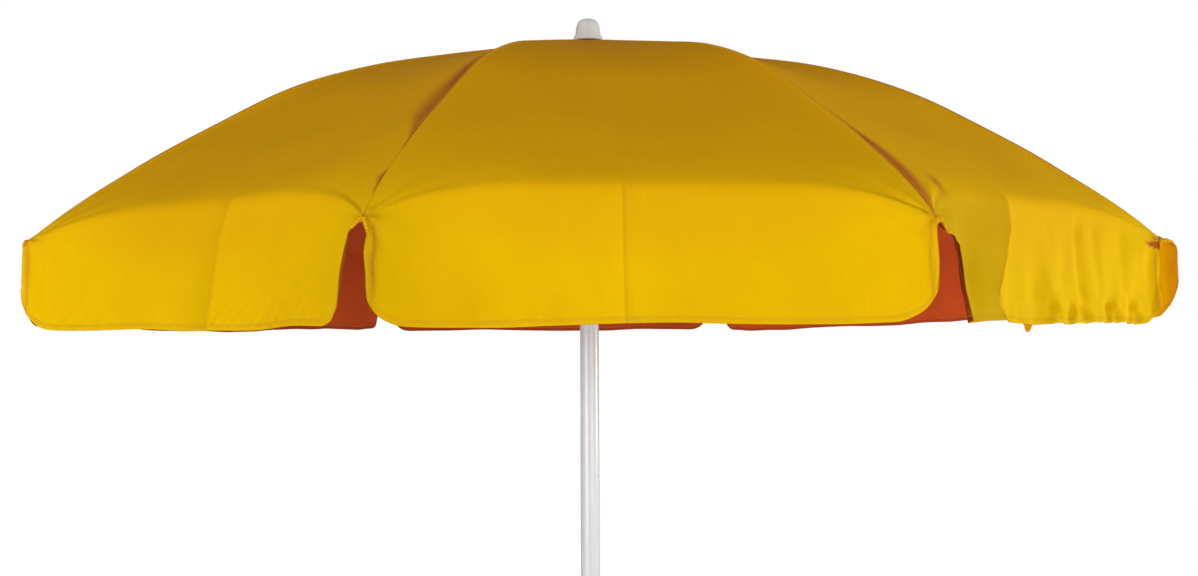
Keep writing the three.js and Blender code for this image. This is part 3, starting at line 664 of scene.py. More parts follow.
    # puckers along the hem
    tail = TOTAL - a
    puck = np.exp(-tail / 30.0) * smooth(tail, -1, 10)
    for i in range(5):
        wl_mm = rng.uniform(16, 42)
        ph, lean = rng.uniform(0, 6.28), rng.uniform(-0.9, 0.9)
        gate = 0.5 + 0.5 * np.sin(yy / rng.uniform(60, 120) + rng.uniform(0, 6.28))
        disp += strong * rng.uniform(0.3, 0.9) * gate * puck * np.sin(2 * np.pi * (yy + lean * tail) / wl_mm + ph)
    if k == 8:  # strong diagonal gathers near the hem on one gore
        for c_, l_, dpt in ((-118, 0.5, 3.0), (-50, -0.4, 3.4), (2, 0.6, 3.2), (32, -0.7, 5.2), (82, 0.6, 4.4), (140, -0.7, 5.6), (190, 0.6, 5.6), (222, -0.6, 5.8), (255, 0.6, 5.2), (288, -0.5, 4.8), (318, 0.4, 3.6)):
            ln = yy - c_ - l_ * tail
            disp -= dpt * np.exp(-((ln / (7.0 + tail * 0.12)) ** 2)) * np.exp(-(((tail - 14) / 24) ** 2))
            disp += 0.6 * dpt * np.exp(-(((ln - 13) / (6.0 + tail * 0.12)) ** 2)) * np.exp(-(((tail - 14) / 22) ** 2))
        for c_, dpt, sg in ((34, 3.0, 16), (132, 6.5, 12), (180, 4.0, 12), (250, 3.4, 14)):
            ln = yy - c_ - 0.10 * tail
            disp -= dpt * np.exp(-((ln / sg) ** 2)) * smooth(below, 4, 46) * (1 - smooth(below, 118, 168))
    # pressed crease down the flap: the cloth makes a slight angle there
    share_v = np.clip(below / np.maximum(1, TOTAL - BEND), 0, 1)
    cy = crease_line(k, share_v)
    dist = np.abs(yy - cy)
    if k == 8:
        disp -= 0.10 * np.clip(cy - yy, 0, 90) * smooth(below, -30, 30)
    depth = {7: 1.0, 6: 1.8, 8: 2.4}.get(k, 1.4)
    up_share = smooth(below, -14, 10)
    disp += depth * (0.55 * np.exp(-dist / 20.0) + 0.45 * np.exp(-dist / 4.0)) * up_share
    disp += 0.5 * np.exp(-dist / 9.0) * (1 - up_share) * smooth(share, 0.55, 0.95)
    # slow unevenness of stretched cloth on the panel
    for i in range(4):
        wx, wy = rng.uniform(150, 420), rng.uniform(160, 460)
        disp += on_panel * 0.55 * np.sin(2 * np.pi * yy / wx + rng.uniform(0, 6.28)) * np.sin(2 * np.pi * a / wy + rng.uniform(0, 6.28)) * np.clip(wmin / 40, 0, 1)
    # pinned on the seams, and where the flap hangs from the panel at its corners
    pin = np.clip(wmin / 6.0, 0, 1) ** 0.8
    pin = np.where(below > 4, np.clip(pin + smooth(below, 4, 30), 0, 1), pin)
    disp *= pin
    nrm = normals(G)
    G = G + nrm * disp[:, :, None]
    # keep neighbours apart at the seam
    G[:, :, 1] -= np.sign(yy) * 0.15 * (np.abs(t)[None, :] > 0.98)
    nrm = normals(G)
    # thickness: single cloth, three layers in the turned hem, two along the seam
    side_off = np.minimum(wl, wr)
    hem = np.maximum(1 - smooth(tail, 7.6, 8.6), (1 - smooth(side_off, 7.6, 8.6)) * smooth(below, 2, 12))
    seam = (1 - smooth(side_off, 6.5, 7.6)) * (1 - smooth(below, -4, 2))
    thick = FABRIC_T + 1.0 * hem + 0.45 * seam
    # the turned edge stands a little proud outside too, with a drawn-in stitch line
    stitch_line = np.exp(-((tail - 7.2) ** 2) / 1.2) + np.exp(-((side_off - 7.2) ** 2) / 1.2) * smooth(below, 2, 12)
    G = G + nrm * (0.35 * hem - 0.28 * np.clip(stitch_line, 0, 1))[:, :, None]
    uv = np.stack([yy / 1000, a / 1000], axis=-1)
    # painted shade on the cloth in the fall beside a seam
    wide_l = {8: [(0.40, 3), (0.7, 8), (0.79, 18), (0.86, 36), (0.92, 38), (0.96, 30), (1.0, 10)], 7: [(0, 0), (1, 0)], 6: [(0, 0), (0.5, 3), (1, 1)], 1: [(0.1, 3), (0.3, 10), (0.5, 15), (0.85, 16), (1, 6)]}.get(k, [(0.1, 1), (0.5, 6), (0.8, 8), (1, 2)])
    wide_r = {6: [(0.34, 8), (0.45, 16), (0.6, 32), (0.68, 42), (0.75, 36), (0.79, 16), (0.82, 4), (0.85, 0.6), (0.90, 0.6), (0.925, 12), (0.945, 3), (0.96, 0.6), (1.0, 0.6)], 7: [(0, 0), (1, 0)], 8: [(0, 0), (0.5, 4), (1, 1)], 5: [(0.1, 2), (0.4, 8), (0.6, 13), (0.9, 14), (1, 5)]}.get(k, [(0.1, 1), (0.5, 6), (0.8, 8), (1, 2)])
    wl_band = np.interp(share, *zip(*wide_l)) + 1e-3
    wr_band = np.interp(share, *zip(*wide_r)) + 1e-3
    shade = np.exp(-((wl / wl_band) ** 3.6)) * (wl_band > 0.5) + np.exp(-((wr / wr_band) ** 3.0)) * (wr_band > 0.5)
    shade = np.clip(shade, 0, 1) * (1 - smooth(below, -6, 4)) * {1: 0.66, 5: 0.60}.get(k, 0.95)
    if k == 8:  # a soft painted shadow near the front corner
        shade = np.maximum(shade, 0.85 * np.exp(-((wl - 84) / 12) ** 2 - ((a - 0.968 * BEND) / 20) ** 2))
    # painted shade in a line just inside the hem's stitching, beside the turned side edges, and in the gathers of the
    # corners
    shade = np.maximum(shade, 0.26 * np.exp(-((tail - 7.6) / 1.1) ** 2))
    shade = np.maximum(shade, 0.46 * np.exp(-((side_off - 7.4) / 2.0) ** 2) * smooth(below, 4, 16))
    for dist in (wl, wr):
        rho = np.hypot(dist, below)
        shade = np.maximum(shade, 0.38 * np.exp(-rho / 16.0) * smooth(below, -30, 10))
    # painted light and shade: the cloth is drawn a little lighter or darker either side of its creases, and darker left
    # of the crease on one gore
    across = yy - cy
    tone = np.ones_like(a)
    if k == 8:
        tone -= 0.25 * (1 - smooth(across, -1.6, 1.2)) * smooth(below, -28, 16)
        tone -= 0.02 * smooth(across, 0, 3) * smooth(below, -8, 30)
        # painted shade: the pleat at the right-hand rib tip, the lower part of the crease and a fold line further right
        shade = np.maximum(shade, 0.85 * np.exp(-(((wr - 9 - 0.9 * np.clip(7 - below, -6, 6)) / 8) ** 2) - ((below - 8) / 4.5) ** 2))
        shade = np.maximum(shade, 0.50 * np.exp(-(((across - 3) / 3.5) ** 2)) * smooth(share_v, 0.70, 0.82))
        tone -= 0.07 * np.exp(-np.abs(across - 200) / 12) * smooth(below, 0, 40)
        # painted shade in a tuck beside the right-hand corner, where the cloth turns its inside out
        high = 9.5 * np.clip(1 - wr / 36, 0, 1)
        shade = np.maximum(shade, (1 - smooth(np.abs(below - 13 - 0.5 * wr), high - 1.6, high + 0.8)) * (high > 0.4))
    elif k == 6:
        tone -= 0.075 * np.exp(-np.clip(-across, 0, 500) / 40) * (across < -0.6) * up_share
        tone += 0.040 * np.exp(-np.clip(across, 0, 500) / 6) * (across >= -0.6) * up_share
    else:
        tone += 0.035 * np.exp(-np.clip(-across, 0, 500) / 12) * (across < -0.6) * up_share
        tone -= 0.055 * np.exp(-np.clip(across, 0, 500) / 7) * (across >= -0.6) * up_share
    if k == 1:  # the turned side edge lets less light through
        shade = np.maximum(shade, 0.85 * (1 - smooth(wl, 12, 17)) * smooth(below, 6, 18))
    # painted shade just inside the left side edge of one flap
    if k == 7:
        shade = np.maximum(shade, 0.62 * np.exp(-(((wl - 9.5) / 3.4) ** 2)) * smooth(below, 12, 26) * (1 - 0.7 * smooth(below, 80, 120)))
    # painted shade: a thin dark line along each crease
    shade = np.maximum(shade, 0.20 * np.exp(-((across - 0.6) / 1.0) ** 2) * up_share)
    return G, nrm, thick, uv, shade, hem, tone


def to_world(P, k):
    a = (k - 0.5) * 2 * math.pi / RIBS
    c, s = math.cos(a), math.sin(a)
    out = np.empty_like(P)
    out[..., 0] = P[..., 0] * c - P[..., 1] * s
    out[..., 1] = P[..., 0] * s + P[..., 1] * c
    out[..., 2] = P[..., 2] + APEX
    return out


def shell(name, G, nrm, thick, uv, r0, r1):
    """Closed sheet from rows r0..r1 of the grid: outer face, inner face and rim."""
    g, n, th, w = G[r0:r1 + 1], nrm[r0:r1 + 1], thick[r0:r1 + 1], uv[r0:r1 + 1]
    R, C = g.shape[:2]
    outer = g.reshape(-1, 3)
    inner = (g - n * th[:, :, None]).reshape(-1, 3)
    verts = np.vstack([outer, inner])
    idx = np.arange(R * C).reshape(R, C)
    o = R * C
    a, b, c, d = idx[:-1, :-1].ravel(), idx[1:, :-1].ravel(), idx[1:, 1:].ravel(), idx[:-1, 1:].ravel()
    fo = np.stack([a, b, c, d], 1)
    fi = np.stack([a + o, d + o, c + o, b + o], 1)
    rim = []
    for e in (idx[0, :][::-1], idx[-1, :], idx[:, 0], idx[:, -1][::-1]):
        rim.append(np.stack([e[:-1], e[:-1] + o, e[1:] + o, e[1:]], 1))
    rim = np.vstack(rim)
    faces = np.vstack([fo, fi, rim])
    fm = np.concatenate([np.zeros(len(fo)), np.ones(len(fi)), np.zeros(len(rim))]).astype(int)
    uvs = np.vstack([w.reshape(-1, 2), w.reshape(-1, 2)])
    return verts, faces, fm, uvs


def smooth_normals(ob, normals_w):
    """Keeps the whole sheet's own normals where it is divided, so that the division doesn't show."""
    ob.data.normals_split_custom_set_from_vertices([tuple(x) for x in normals_w])


def stitches(name, path, normal, pitch=4.2, length=3.0, radius=0.30, lift=0.10):
    """Sewn line: one short bowed capsule of thread per stitch, along a path in mm."""
    seg = np.linalg.norm(np.diff(path, axis=0), axis=1)
    run_ = np.concatenate([[0], np.cumsum(seg)])
    n = int((run_[-1] - 2) // pitch)
    verts, faces = [], []
    ring = [(-0.5, 0.25, -0.15), (-0.34, 0.95, 0.12), (0, 1.0, 0.22), (0.34, 0.95, 0.12), (0.5, 0.25, -0.15)]
    sides = 6
    for i in range(n):
        mid = 1.5 + (i + 0.5) * pitch
        a_, b_ = [np.array([np.interp(x, run_, path[:, c]) for c in range(3)]) for x in (mid - length / 2, mid + length / 2)]
        nrm = np.array([np.interp(mid, run_, normal[:, c]) for c in range(3)])
        nrm /= np.linalg.norm(nrm)
        d = b_ - a_
        side_v = np.cross(nrm, d)
        side_v /= np.linalg.norm(side_v)
        base = len(verts)
        for f, rr, up in ring:
            c = (a_ + b_) / 2 + d * f + nrm * (lift + up * 0.6)
            for j in range(sides):
                an = 2 * math.pi * j / sides
                verts.append(c + radius * rr * (math.cos(an) * side_v + math.sin(an) * nrm))
        for q in range(len(ring) - 1):
            for j in range(sides):
                j2 = (j + 1) % sides
                faces.append((base + q * sides + j, base + (q + 1) * sides + j, base + (q + 1) * sides + j2, base + q * sides + j2))
        faces.append(tuple(base + j for j in range(sides)))
        faces.append(tuple(base + (len(ring) - 1) * sides + j for j in range(sides))[::-1])
    return np.array(verts), faces


def stitch_object(name, runs):
    verts, faces = [], []
    for path, normal in runs:
        v_, f_ = stitches(name, path, normal)
        faces += [tuple(i + sum(len(x) for x in verts) for i in f) for f in f_] if verts else list(f_)
        verts.append(v_)
    return mesh_object(name, np.vstack(verts), faces, [M_THREAD])


INNER_TONE = {2: 1.5}  # the inside of one gore is painted lighter
panels, flaps = [], []
GRID = {}
for k in range(1, RIBS + 1):
    G, nrm, thick, uv, shade, hem_mask, tone = gore_grid(k)
    W = to_world(G, k)
    az_here = np.arctan2(W[..., 1], W[..., 0])
    W[..., 2] -= settle(np.hypot(W[..., 0], W[..., 1]), az_here)
    # world normals by the same turn
    ang = (k - 0.5) * 2 * math.pi / RIBS
    rot = np.array([[math.cos(ang), -math.sin(ang), 0], [math.sin(ang), math.cos(ang), 0], [0, 0, 1]])
    NW = nrm @ rot.T
    GRID[k] = (W, NW, thick, uv)
    for name, r0, r1, kind in ((f"canopy_gore_{k}", 0, PANEL_ROWS - 1, "panel"), (f"valance_flap_{k}", PANEL_ROWS - 1, G.shape[0] - 1, "flap")):
        verts, faces, fm, uvs = shell(name, W, NW, thick, uv, r0, r1)
        ob = mesh_object(name, verts, faces.tolist(), [M_OUT_THIN, M_IN_LIT] if (k == 1 and kind == "flap") else [M_OUT, M_IN], fm, uvs)
        nn = NW[r0:r1 + 1].reshape(-1, 3)
        att = ob.data.attributes.new("shade", "FLOAT", "POINT")
        tn = ob.data.attributes.new("tone", "FLOAT", "POINT")
        tw = tone[r0:r1 + 1].ravel()
        tn.data.foreach_set("value", np.concatenate([tw, (0.5 + 0.5 * tw) * INNER_TONE.get(k, 1.0)]).astype(np.float32))
        # painted shade on the inside face: half the outside's, and dark along the turned hem, where the thicker cloth
        # lets less light through
        sh = shade[r0:r1 + 1].ravel()
        att.data.foreach_set("value", np.concatenate([sh, np.maximum(sh * 0.5, 0.9 * hem_mask[r0:r1 + 1].ravel())]).astype(np.float32))
        smooth_normals(ob, np.vstack([nn, -nn]))
        (panels if kind == "panel" else flaps).append(ob)

def fix_normals(ob):
    bm = bmesh.new()
    bm.from_mesh(ob.data)
    bmesh.ops.recalc_face_normals(bm, faces=bm.faces)
    bm.to_mesh(ob.data)
    bm.free()


def gathered_edge(k):
    """The rolled and gathered edge that binds two neighbouring flaps together at the tip of rib k."""
    rng = np.random.RandomState(300 + k)
    a_, b_ = GRID[RIBS if k == 1 else k - 1][0], GRID[k][0]
    reach_a, reach_b = {7: (5, 7), 8: (4, 6)}.get(k, (4, 4))
    path = np.vstack([a_[PANEL_ROWS - 1:PANEL_ROWS + reach_a, -1][::-1], b_[PANEL_ROWS - 1:PANEL_ROWS + reach_b, 0]])
    run_ = np.concatenate([[0], np.cumsum(np.maximum(1e-6, np.linalg.norm(np.diff(path, axis=0), axis=1)))])
    n = int(run_[-1] / 0.55)
    at = np.linspace(0, run_[-1], n)
    p = np.stack([np.interp(at, run_, path[:, c]) for c in range(3)], 1)
    ker = np.exp(-0.5 * (np.arange(-14, 15) / 4.5) ** 2)
    ker /= ker.sum()
    pad = np.vstack([2 * p[0] - p[1:15][::-1], p, 2 * p[-1] - p[-15:-1][::-1]])
    p = np.stack([np.convolve(pad[:, c], ker, mode="valid") for c in range(3)], 1)
    out_dir = np.array([math.cos((k - 1) * 2 * HALF), math.sin((k - 1) * 2 * HALF), 0])
    d = np.gradient(p, axis=0)
    d /= np.linalg.norm(d, axis=1, keepdims=True)
    side_v = np.cross(d, out_dir)
    side_v /= np.linalg.norm(side_v, axis=1, keepdims=True)
    nrm = np.cross(side_v, d)
    mid = np.interp(reach_a + 0.5, np.arange(len(run_)), run_)
    end = np.minimum(at, run_[-1] - at)
    swell = 1 + 0.55 * np.exp(-((at - mid) / 7.0) ** 2)
    gathers = 1 + 0.17 * np.sin(2 * np.pi * at / 4.3 + rng.uniform(0, 6)) + 0.10 * np.sin(2 * np.pi * at / 2.7 + rng.uniform(0, 6))
    rad = 2.2 * swell * gathers * (0.35 + 0.65 * smooth(end, 0, 7))
    sides = 20
    # painted shade: the gathered edge is darker in the hollows between its gathers
    verts, uvs, sh = [], [], []
    for i in range(n):
        for j in range(sides):
            an = 2 * math.pi * j / sides
            fold = 1 + 0.13 * math.sin(3 * an + at[i] * 0.5) + 0.06 * math.sin(7 * an - at[i] * 1.1)
            verts.append(p[i] + rad[i] * fold * (math.cos(an) * nrm[i] * 0.85 + math.sin(an) * side_v[i]))
            uvs.append((at[i] / 1000, 0.92 + j * 0.6 / 1000))
            sh.append(max(0.0, 0.16 - 1.3 * (gathers[i] - 1)))
    faces = [(i * sides + j, i * sides + (j + 1) % sides, (i + 1) * sides + (j + 1) % sides, (i + 1) * sides + j) for i in range(n - 1) for j in range(sides)]
    faces += [tuple(range(sides))[::-1], tuple((n - 1) * sides + j for j in range(sides))]
    ob = mesh_object(f"gathered_edge_{k}", np.array(verts), faces, [M_OUT], None, np.array(uvs))
    fix_normals(ob)
    ob.data.attributes.new("shade", "FLOAT", "POINT").data.foreach_set("value", np.array(sh, np.float32))
    ob.data.attributes.new("tone", "FLOAT", "POINT").data.foreach_set("value", np.full(len(sh), 1.04, np.float32))
    ob.data.polygons.foreach_set("use_smooth", [True] * len(ob.data.polygons))
    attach(ob, f"rib_{k}")
    return ob


for k, (pa, fl) in enumerate(zip(panels, flaps), start=1):
    ang = (k - 0.5) * 2 * math.pi / RIBS
    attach(pa, f"panel_{k}")
    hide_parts(f"canopy_panel_{k}")
    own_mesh(pa)
    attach(fl, f"flap_{k}")
    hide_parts(f"canopy_flap_{k}")
    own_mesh(fl)
    W, NW, thick, uv = GRID[k]
    down_l, down_r = W[PANEL_ROWS + 2:-3, 3], W[PANEL_ROWS + 2:-3, -4]
    hem_path = np.vstack([down_l, W[-4, 3:-3], down_r[::-1]])
    hem_n = np.vstack([NW[PANEL_ROWS + 2:-3, 3], NW[-4, 3:-3], NW[PANEL_ROWS + 2:-3, -4][::-1]])
    th = np.concatenate([thick[PANEL_ROWS + 2:-3, 3], thick[-4, 3:-3], thick[PANEL_ROWS + 2:-3, -4][::-1]])[:, None]
    hs = stitch_object(f"hem_stitches_{k}", [(hem_path, hem_n), (hem_path - hem_n * th, -hem_n)])
    ss = stitch_object(f"seam_stitches_{k}", [(W[4:PANEL_ROWS - 2, 3], NW[4:PANEL_ROWS - 2, 3]), (W[4:PANEL_ROWS - 2, -4], NW[4:PANEL_ROWS - 2, -4])])
    for st, bd in ((hs, f"flap_{k}"), (ss, f"panel_{k}")):
        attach(st, bd)
        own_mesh(st)
    gathered_edge(k)


# ------------------------------------------------------------------ poles
def pipe(name, r_in, r_out, z0, z1, mat, body, *nodes, segments=96):
    ob = lathe(name, rounded([(r_in, z0), (r_out, z0), (r_out, z1), (r_in, z1)], 0.5, 3, closed=True), [mat], segments)
    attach(ob, body)
    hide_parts(*nodes)
    return ob


pole_top = pipe("pole_upper_tube", 14.8, 16.0, TILT_Z + 33.5, APEX - 12.6, M_POLE, "upper_section", "upper_pole")
pole_mid = pipe("pole_middle_tube", 14.8, 16.0, 420, TILT_Z - 43, M_POLE, "middle_section", "middle_pole")
pole_low = pipe("pole_lower_tube", 16.6, 19.0, 92, 815, M_POLE, "lower_section", "lower_pole")

# finial
fin = lathe("finial_cap", [
    (0, -10.5), (3.6, -10.5), (4, -10.1), (4, 0.4), (24.0, 0.4), (24.9, 0.7), (25.3, 1.6), (25.1, 3.4), (24.3, 5.4), (23.0, 7.6), (21.8, 9.8), (21.0, 12.4), (20.5, 17), (19.9, 22.5),
    (18.8, 27.2), (17.0, 30.8), (14.6, 33.4), (11.4, 35.3), (7.6, 36.5), (3.6, 36.95), (0, 37)], [M_FINIAL], 96, z0=APEX, sharp=50)
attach(fin, "upper_section")
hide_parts("finial")

# ------------------------------------------------------------------ ribs, stretchers, tips
def rib_axis(r):
    r = np.asarray(r, float)
    sl = slope_at(r)
    off = 8.0 + 1.8 * sl + 2.2 * smooth(r, 840, 905)
    return -(drop_of(r) + off * np.hypot(1, sl))


JOINT_DROP = float(-rib_axis(JOINT_R)) + 12.0
RUNNER_DROP = CROWN_DROP + 2 * (JOINT_DROP - CROWN_DROP)


def prism(name, outline, a0, a1):
    """Flat shape in the X-Z plane, extruded along Y from a0 to a1."""
    n = len(outline)
    verts = [(x, a0, z) for x, z in outline] + [(x, a1, z) for x, z in outline]
    faces = [tuple(range(n)), tuple(range(2 * n - 1, n - 1, -1))]
    faces += [(i, i + n, (i + 1) % n + n, (i + 1) % n) for i in range(n)]
    ob = mesh_object(name, verts, faces, [])
    fix_normals(ob)
    return ob


def bar(name, r, p, q, sides=48):
    P, Q = np.array(p, float), np.array(q, float)
    return tube_along(name, [P + (Q - P) * f for f in (0, 0.5, 1)], r, [], sides=sides)


def arc(cx, cz, r, a0, a1, n):
    return [(cx + r * math.cos(math.radians(a0 + (a1 - a0) * i / n)), cz + r * math.sin(math.radians(a0 + (a1 - a0) * i / n))) for i in range(n + 1)]


def boolean(base, others, how):
    for o in others:
        m = base.modifiers.new("b", "BOOLEAN")
        m.operation = how
        m.solver = "EXACT"
        m.object = o
        bpy.context.view_layer.update()
        me = bpy.data.meshes.new_from_object(base.evaluated_get(bpy.context.evaluated_depsgraph_get()))
        base.modifiers.clear()
        old = base.data
        base.data = me
        bpy.data.meshes.remove(old)
        bpy.data.objects.remove(o, do_unlink=True)
    return base


def soften(ob, width=0.4, segments=2, angle=32, sharp=50):
    bm = bmesh.new()
    bm.from_mesh(ob.data)
    bmesh.ops.remove_doubles(bm, verts=bm.verts, dist=2e-6)
    bmesh.ops.dissolve_limit(bm, angle_limit=math.radians(0.4), verts=bm.verts, edges=bm.edges)
    bm.to_mesh(ob.data)
    bm.free()
    m = ob.modifiers.new("bevel", "BEVEL")
    m.width = width * 0.001
    m.segments = segments
    m.limit_method = "ANGLE"
    m.angle_limit = math.radians(angle)
    m.use_clamp_overlap = True
    bpy.context.view_layer.update()
    me = bpy.data.meshes.new_from_object(ob.evaluated_get(bpy.context.evaluated_depsgraph_get()))
    ob.modifiers.clear()
    old = ob.data
    ob.data = me
    bpy.data.meshes.remove(old)
    ob.data.shade_smooth()
    ob.data.set_sharp_from_angle(angle=math.radians(sharp))
    return ob


def put(ob, name, mat, body, slot, *nodes):
    ob.name = name
    ob.data.name = name
    ob.data.materials.clear()
    ob.data.materials.append(mat)
    ob.data.polygons.foreach_set("material_index", np.zeros(len(ob.data.polygons), np.int32))
    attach(ob, body)
    if nodes:
        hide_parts(*nodes)
    return ob


def shifted(ob, x=0, y=0, z=0):
    ob.data.transform(Matrix.Translation((x / 1000, y / 1000, z / 1000)))
    return ob


def copy_turned(ob, degrees, name):
    o = bpy.data.objects.new(name, ob.data.copy())
    bpy.context.scene.collection.objects.link(o)
    return turn_z(o, degrees)


def octagon(name, inradius, wire, z, sides=20):
    """Wire ring with eight straight sides facing the ribs and rounded corners, closed on itself."""
    corner = inradius / math.cos(HALF)
    pts = []
    for i in range(RIBS):
        a0, a1 = (i - 0.5) * 2 * HALF, (i + 0.5) * 2 * HALF
        A = np.array([corner * math.cos(a0), corner * math.sin(a0)])
        B = np.array([corner * math.cos(a1), corner * math.sin(a1)])
        for f in (0.06, 0.12, 0.3, 0.5, 0.7, 0.88, 0.94):
            pts.append(A + (B - A) * f)
        nxt = np.array([corner * math.cos(a1 + 2 * HALF), corner * math.sin(a1 + 2 * HALF)])
        P, Q = A + (B - A) * 0.94, B + (nxt - B) * 0.06
        for f in (0.33, 0.67):
            pts.append((1 - f) ** 2 * P + 2 * f * (1 - f) * B + f * f * Q)
    pts = np.array(pts)
    n = len(pts)
    verts, faces = [], []
    for i in range(n):
        T = pts[(i + 1) % n] - pts[i - 1]
        T /= np.linalg.norm(T)
        out = np.array([T[1], -T[0]])
        for j in range(sides):
            a = 2 * math.pi * j / sides
            verts.append((pts[i][0] + out[0] * wire * math.cos(a), pts[i][1] + out[1] * wire * math.cos(a), z + wire * math.sin(a)))
    for i in range(n):
        for j in range(sides):
            i2, j2 = (i + 1) % n, (j + 1) % sides
            faces.append((i * sides + j, i2 * sides + j, i2 * sides + j2, i * sides + j2))
    ob = mesh_object(name, verts, faces, [])
    fix_normals(ob)
    ob.data.shade_smooth()
    return ob


def rib_give(r, az):
    """The rod bends with the used canopy, but only as far as the cloth has taken up its slack."""
    d = settle(r, az)
    return np.where(d > 4.5, d - 4.5, np.where(d < -1.5, d + 1.5, 0.0))


# ribs: sprung steel rods with a flattened eye, a pressed saddle for the stretcher, and a moulded cap
rib_stations = np.concatenate([np.linspace(160, 900, 75)])
line_r = np.concatenate([[33.0, 50.0, 70.0, 92.0, 115.0, 137.0], rib_stations])
line_z = np.concatenate([[-18.0, -19.0, -21.0, -(drop_of(92.0) + 12.6), -(drop_of(115.0) + 10.2), float(rib_axis(137.0)) - 1.0], rib_axis(rib_stations)])
eye = boolean(prism("eye", arc(PIVOT_R, -CROWN_DROP, 4.4, 0, 352, 44), -2.2, 2.2), [bar("h", 1.75, (PIVOT_R, -9, -CROWN_DROP), (PIVOT_R, 9, -CROWN_DROP), 32)], "DIFFERENCE")
eye = soften(eye, 0.35)
neck = prism("neck", [(33.2, -CROWN_DROP - 2.1), (36, -CROWN_DROP - 2.6), (44, -CROWN_DROP - 2.7), (47, -CROWN_DROP - 2.2), (47, -CROWN_DROP + 1.3), (44, -CROWN_DROP + 1.9), (36, -CROWN_DROP + 2.2), (33.2, -CROWN_DROP + 2.1)], -2.2, 2.2)
neck = soften(neck, 0.7, 3)


def make_saddle(rod_z):
    j = (JOINT_R, -JOINT_DROP)
    wrap = boolean(bar("w", 3.5, (j[0] - 12, 0, rod_z + 2.1), (j[0] + 12, 0, rod_z - 2.1), 40), [], "UNION")
    wrap = soften(wrap, 0.5)
    leaf = prism("leaf", [(j[0] - 7, rod_z - 1), (j[0] - 5.2, j[1] + 2)] + arc(j[0], j[1], 4.4, 190, 350, 16) + [(j[0] + 5.2, j[1] + 2), (j[0] + 7, rod_z - 1)], -1.5, 1.5)
    leaf = soften(leaf, 0.35)
    pin = bar("p", 1.6, (j[0], -5.5, j[1]), (j[0], 5.5, j[1]), 24)
    heads = [shifted(lathe_y("hd", [(0, 0), (2.6, 0), (3.1, 0.35), (3.1, 0.75), (2.4, 1.25), (0, 1.5)], sgn), j[0], sgn * 4.4, j[1]) for sgn in (-1, 1)]
    return [wrap, leaf, pin] + heads


def lathe_y(name, profile, sgn=1, segments=32):
    """Turned piece about the Y axis; profile in (radius, distance along sgn*Y)."""
    ob = lathe(name, profile, [], segments)
    ob.data.transform(Matrix.Rotation(math.radians(-90 * sgn), 4, "X"))
    return ob


tip_dir = math.atan2(float(rib_axis(900.0) - rib_axis(880.0)), 20.0)
for k in range(1, RIBS + 1):
    az = (k - 1) * 2 * HALF
    dz = rib_give(line_r, az)
    pts = np.stack([line_r, np.zeros_like(line_r), line_z - dz * smooth(line_r, 120, 260)], 1)
    rod = tube_along(f"rod{k}", pts, 2.2, [], sides=16)
    at_joint = float(np.interp(JOINT_R, line_r, pts[:, 2]))
    parts = [rod] + make_saddle(at_joint)
    parts.append(bpy.data.objects.new("e", eye.data.copy()))
    parts.append(bpy.data.objects.new("n", neck.data.copy()))
    for o in parts[-2:]:
        bpy.context.scene.collection.objects.link(o)
    rib = turn_z(join(parts, f"rib_rod_{k}"), (k - 1) * 45)
    put(rib, f"rib_rod_{k}", M_STEEL, f"rib_{k}", "rib_steel", f"rib_{k}")
    cap = lathe("c", [(0, 4.2), (1.3, 4.05), (2.6, 3.5), (3.6, 2.2), (4.1, 0.4), (4.3, -1.4), (4.25, -8), (4.3, -13.2), (4.1, -13.8), (3.6, -14), (3.1, -13.7), (3.0, -8), (3.0, 0.6), (2.4, 0.9), (0, 0.9)], [], 48)
    cap.data.transform(Matrix.Rotation(math.radians(90) - tip_dir, 4, "Y"))
    end = float(line_z[-1] - rib_give(900.0, az))
    cap = turn_z(shifted(cap, 900, 0, end), (k - 1) * 45)
    put(shifted(cap, 0, 0, APEX), f"rib_cap_{k}", M_TIP, f"rib_{k}", "tip_plastic", f"rib_tip_{k}")
    shifted(rib, 0, 0, APEX)
bpy.data.objects.remove(eye)
bpy.data.objects.remove(neck)

# stretchers: rod with an eye at the runner and a riveted fork at the rib
P0, J0 = np.array([PIVOT_R, -RUNNER_DROP]), np.array([JOINT_R, -JOINT_DROP])
S_LEN = float(np.linalg.norm(J0 - P0))
s_pitch = math.atan2(J0[1] - P0[1], J0[0] - P0[0])
s_eye = soften(boolean(prism("se", arc(0, 0, 4.4, 0, 352, 44), -2.2, 2.2), [bar("h", 1.75, (0, -9, 0), (0, 9, 0), 32)], "DIFFERENCE"), 0.35)
s_neck = soften(prism("sn", [(3.2, -2.1), (6, -2.5), (13, -2.4), (16, -1.9), (16, 1.9), (13, 2.4), (6, 2.5), (3.2, 2.1)], -2.1, 2.1), 0.7, 3)
s_rod = tube_along("sr", [(x, 0, 0) for x in np.linspace(3.6, S_LEN - 18, 24)], 2.0, [], sides=16)
fork = [(S_LEN - 27, -2.6), (S_LEN - 20, -4)] + arc(S_LEN, 0, 4.4, -84, 84, 22) + [(S_LEN - 20, 4), (S_LEN - 27, 2.6)]
s_fork = prism("sf", fork, -4.1, 4.1)
s_fork = boolean(s_fork, [soft_box for soft_box in [prism("cut", [(S_LEN - 15, -10), (S_LEN + 10, -10), (S_LEN + 10, 10), (S_LEN - 15, 10)], -2.1, 2.1)]], "DIFFERENCE")
s_fork = soften(boolean(s_fork, [bar("h", 1.95, (S_LEN, -9, 0), (S_LEN, 9, 0), 32)], "DIFFERENCE"), 0.4)
stretch = join([s_rod, s_eye, s_neck, s_fork], "stretcher_master")
stretch.data.transform(Matrix.Rotation(-s_pitch, 4, "Y"))
shifted(stretch, P0[0], 0, P0[1] + APEX)
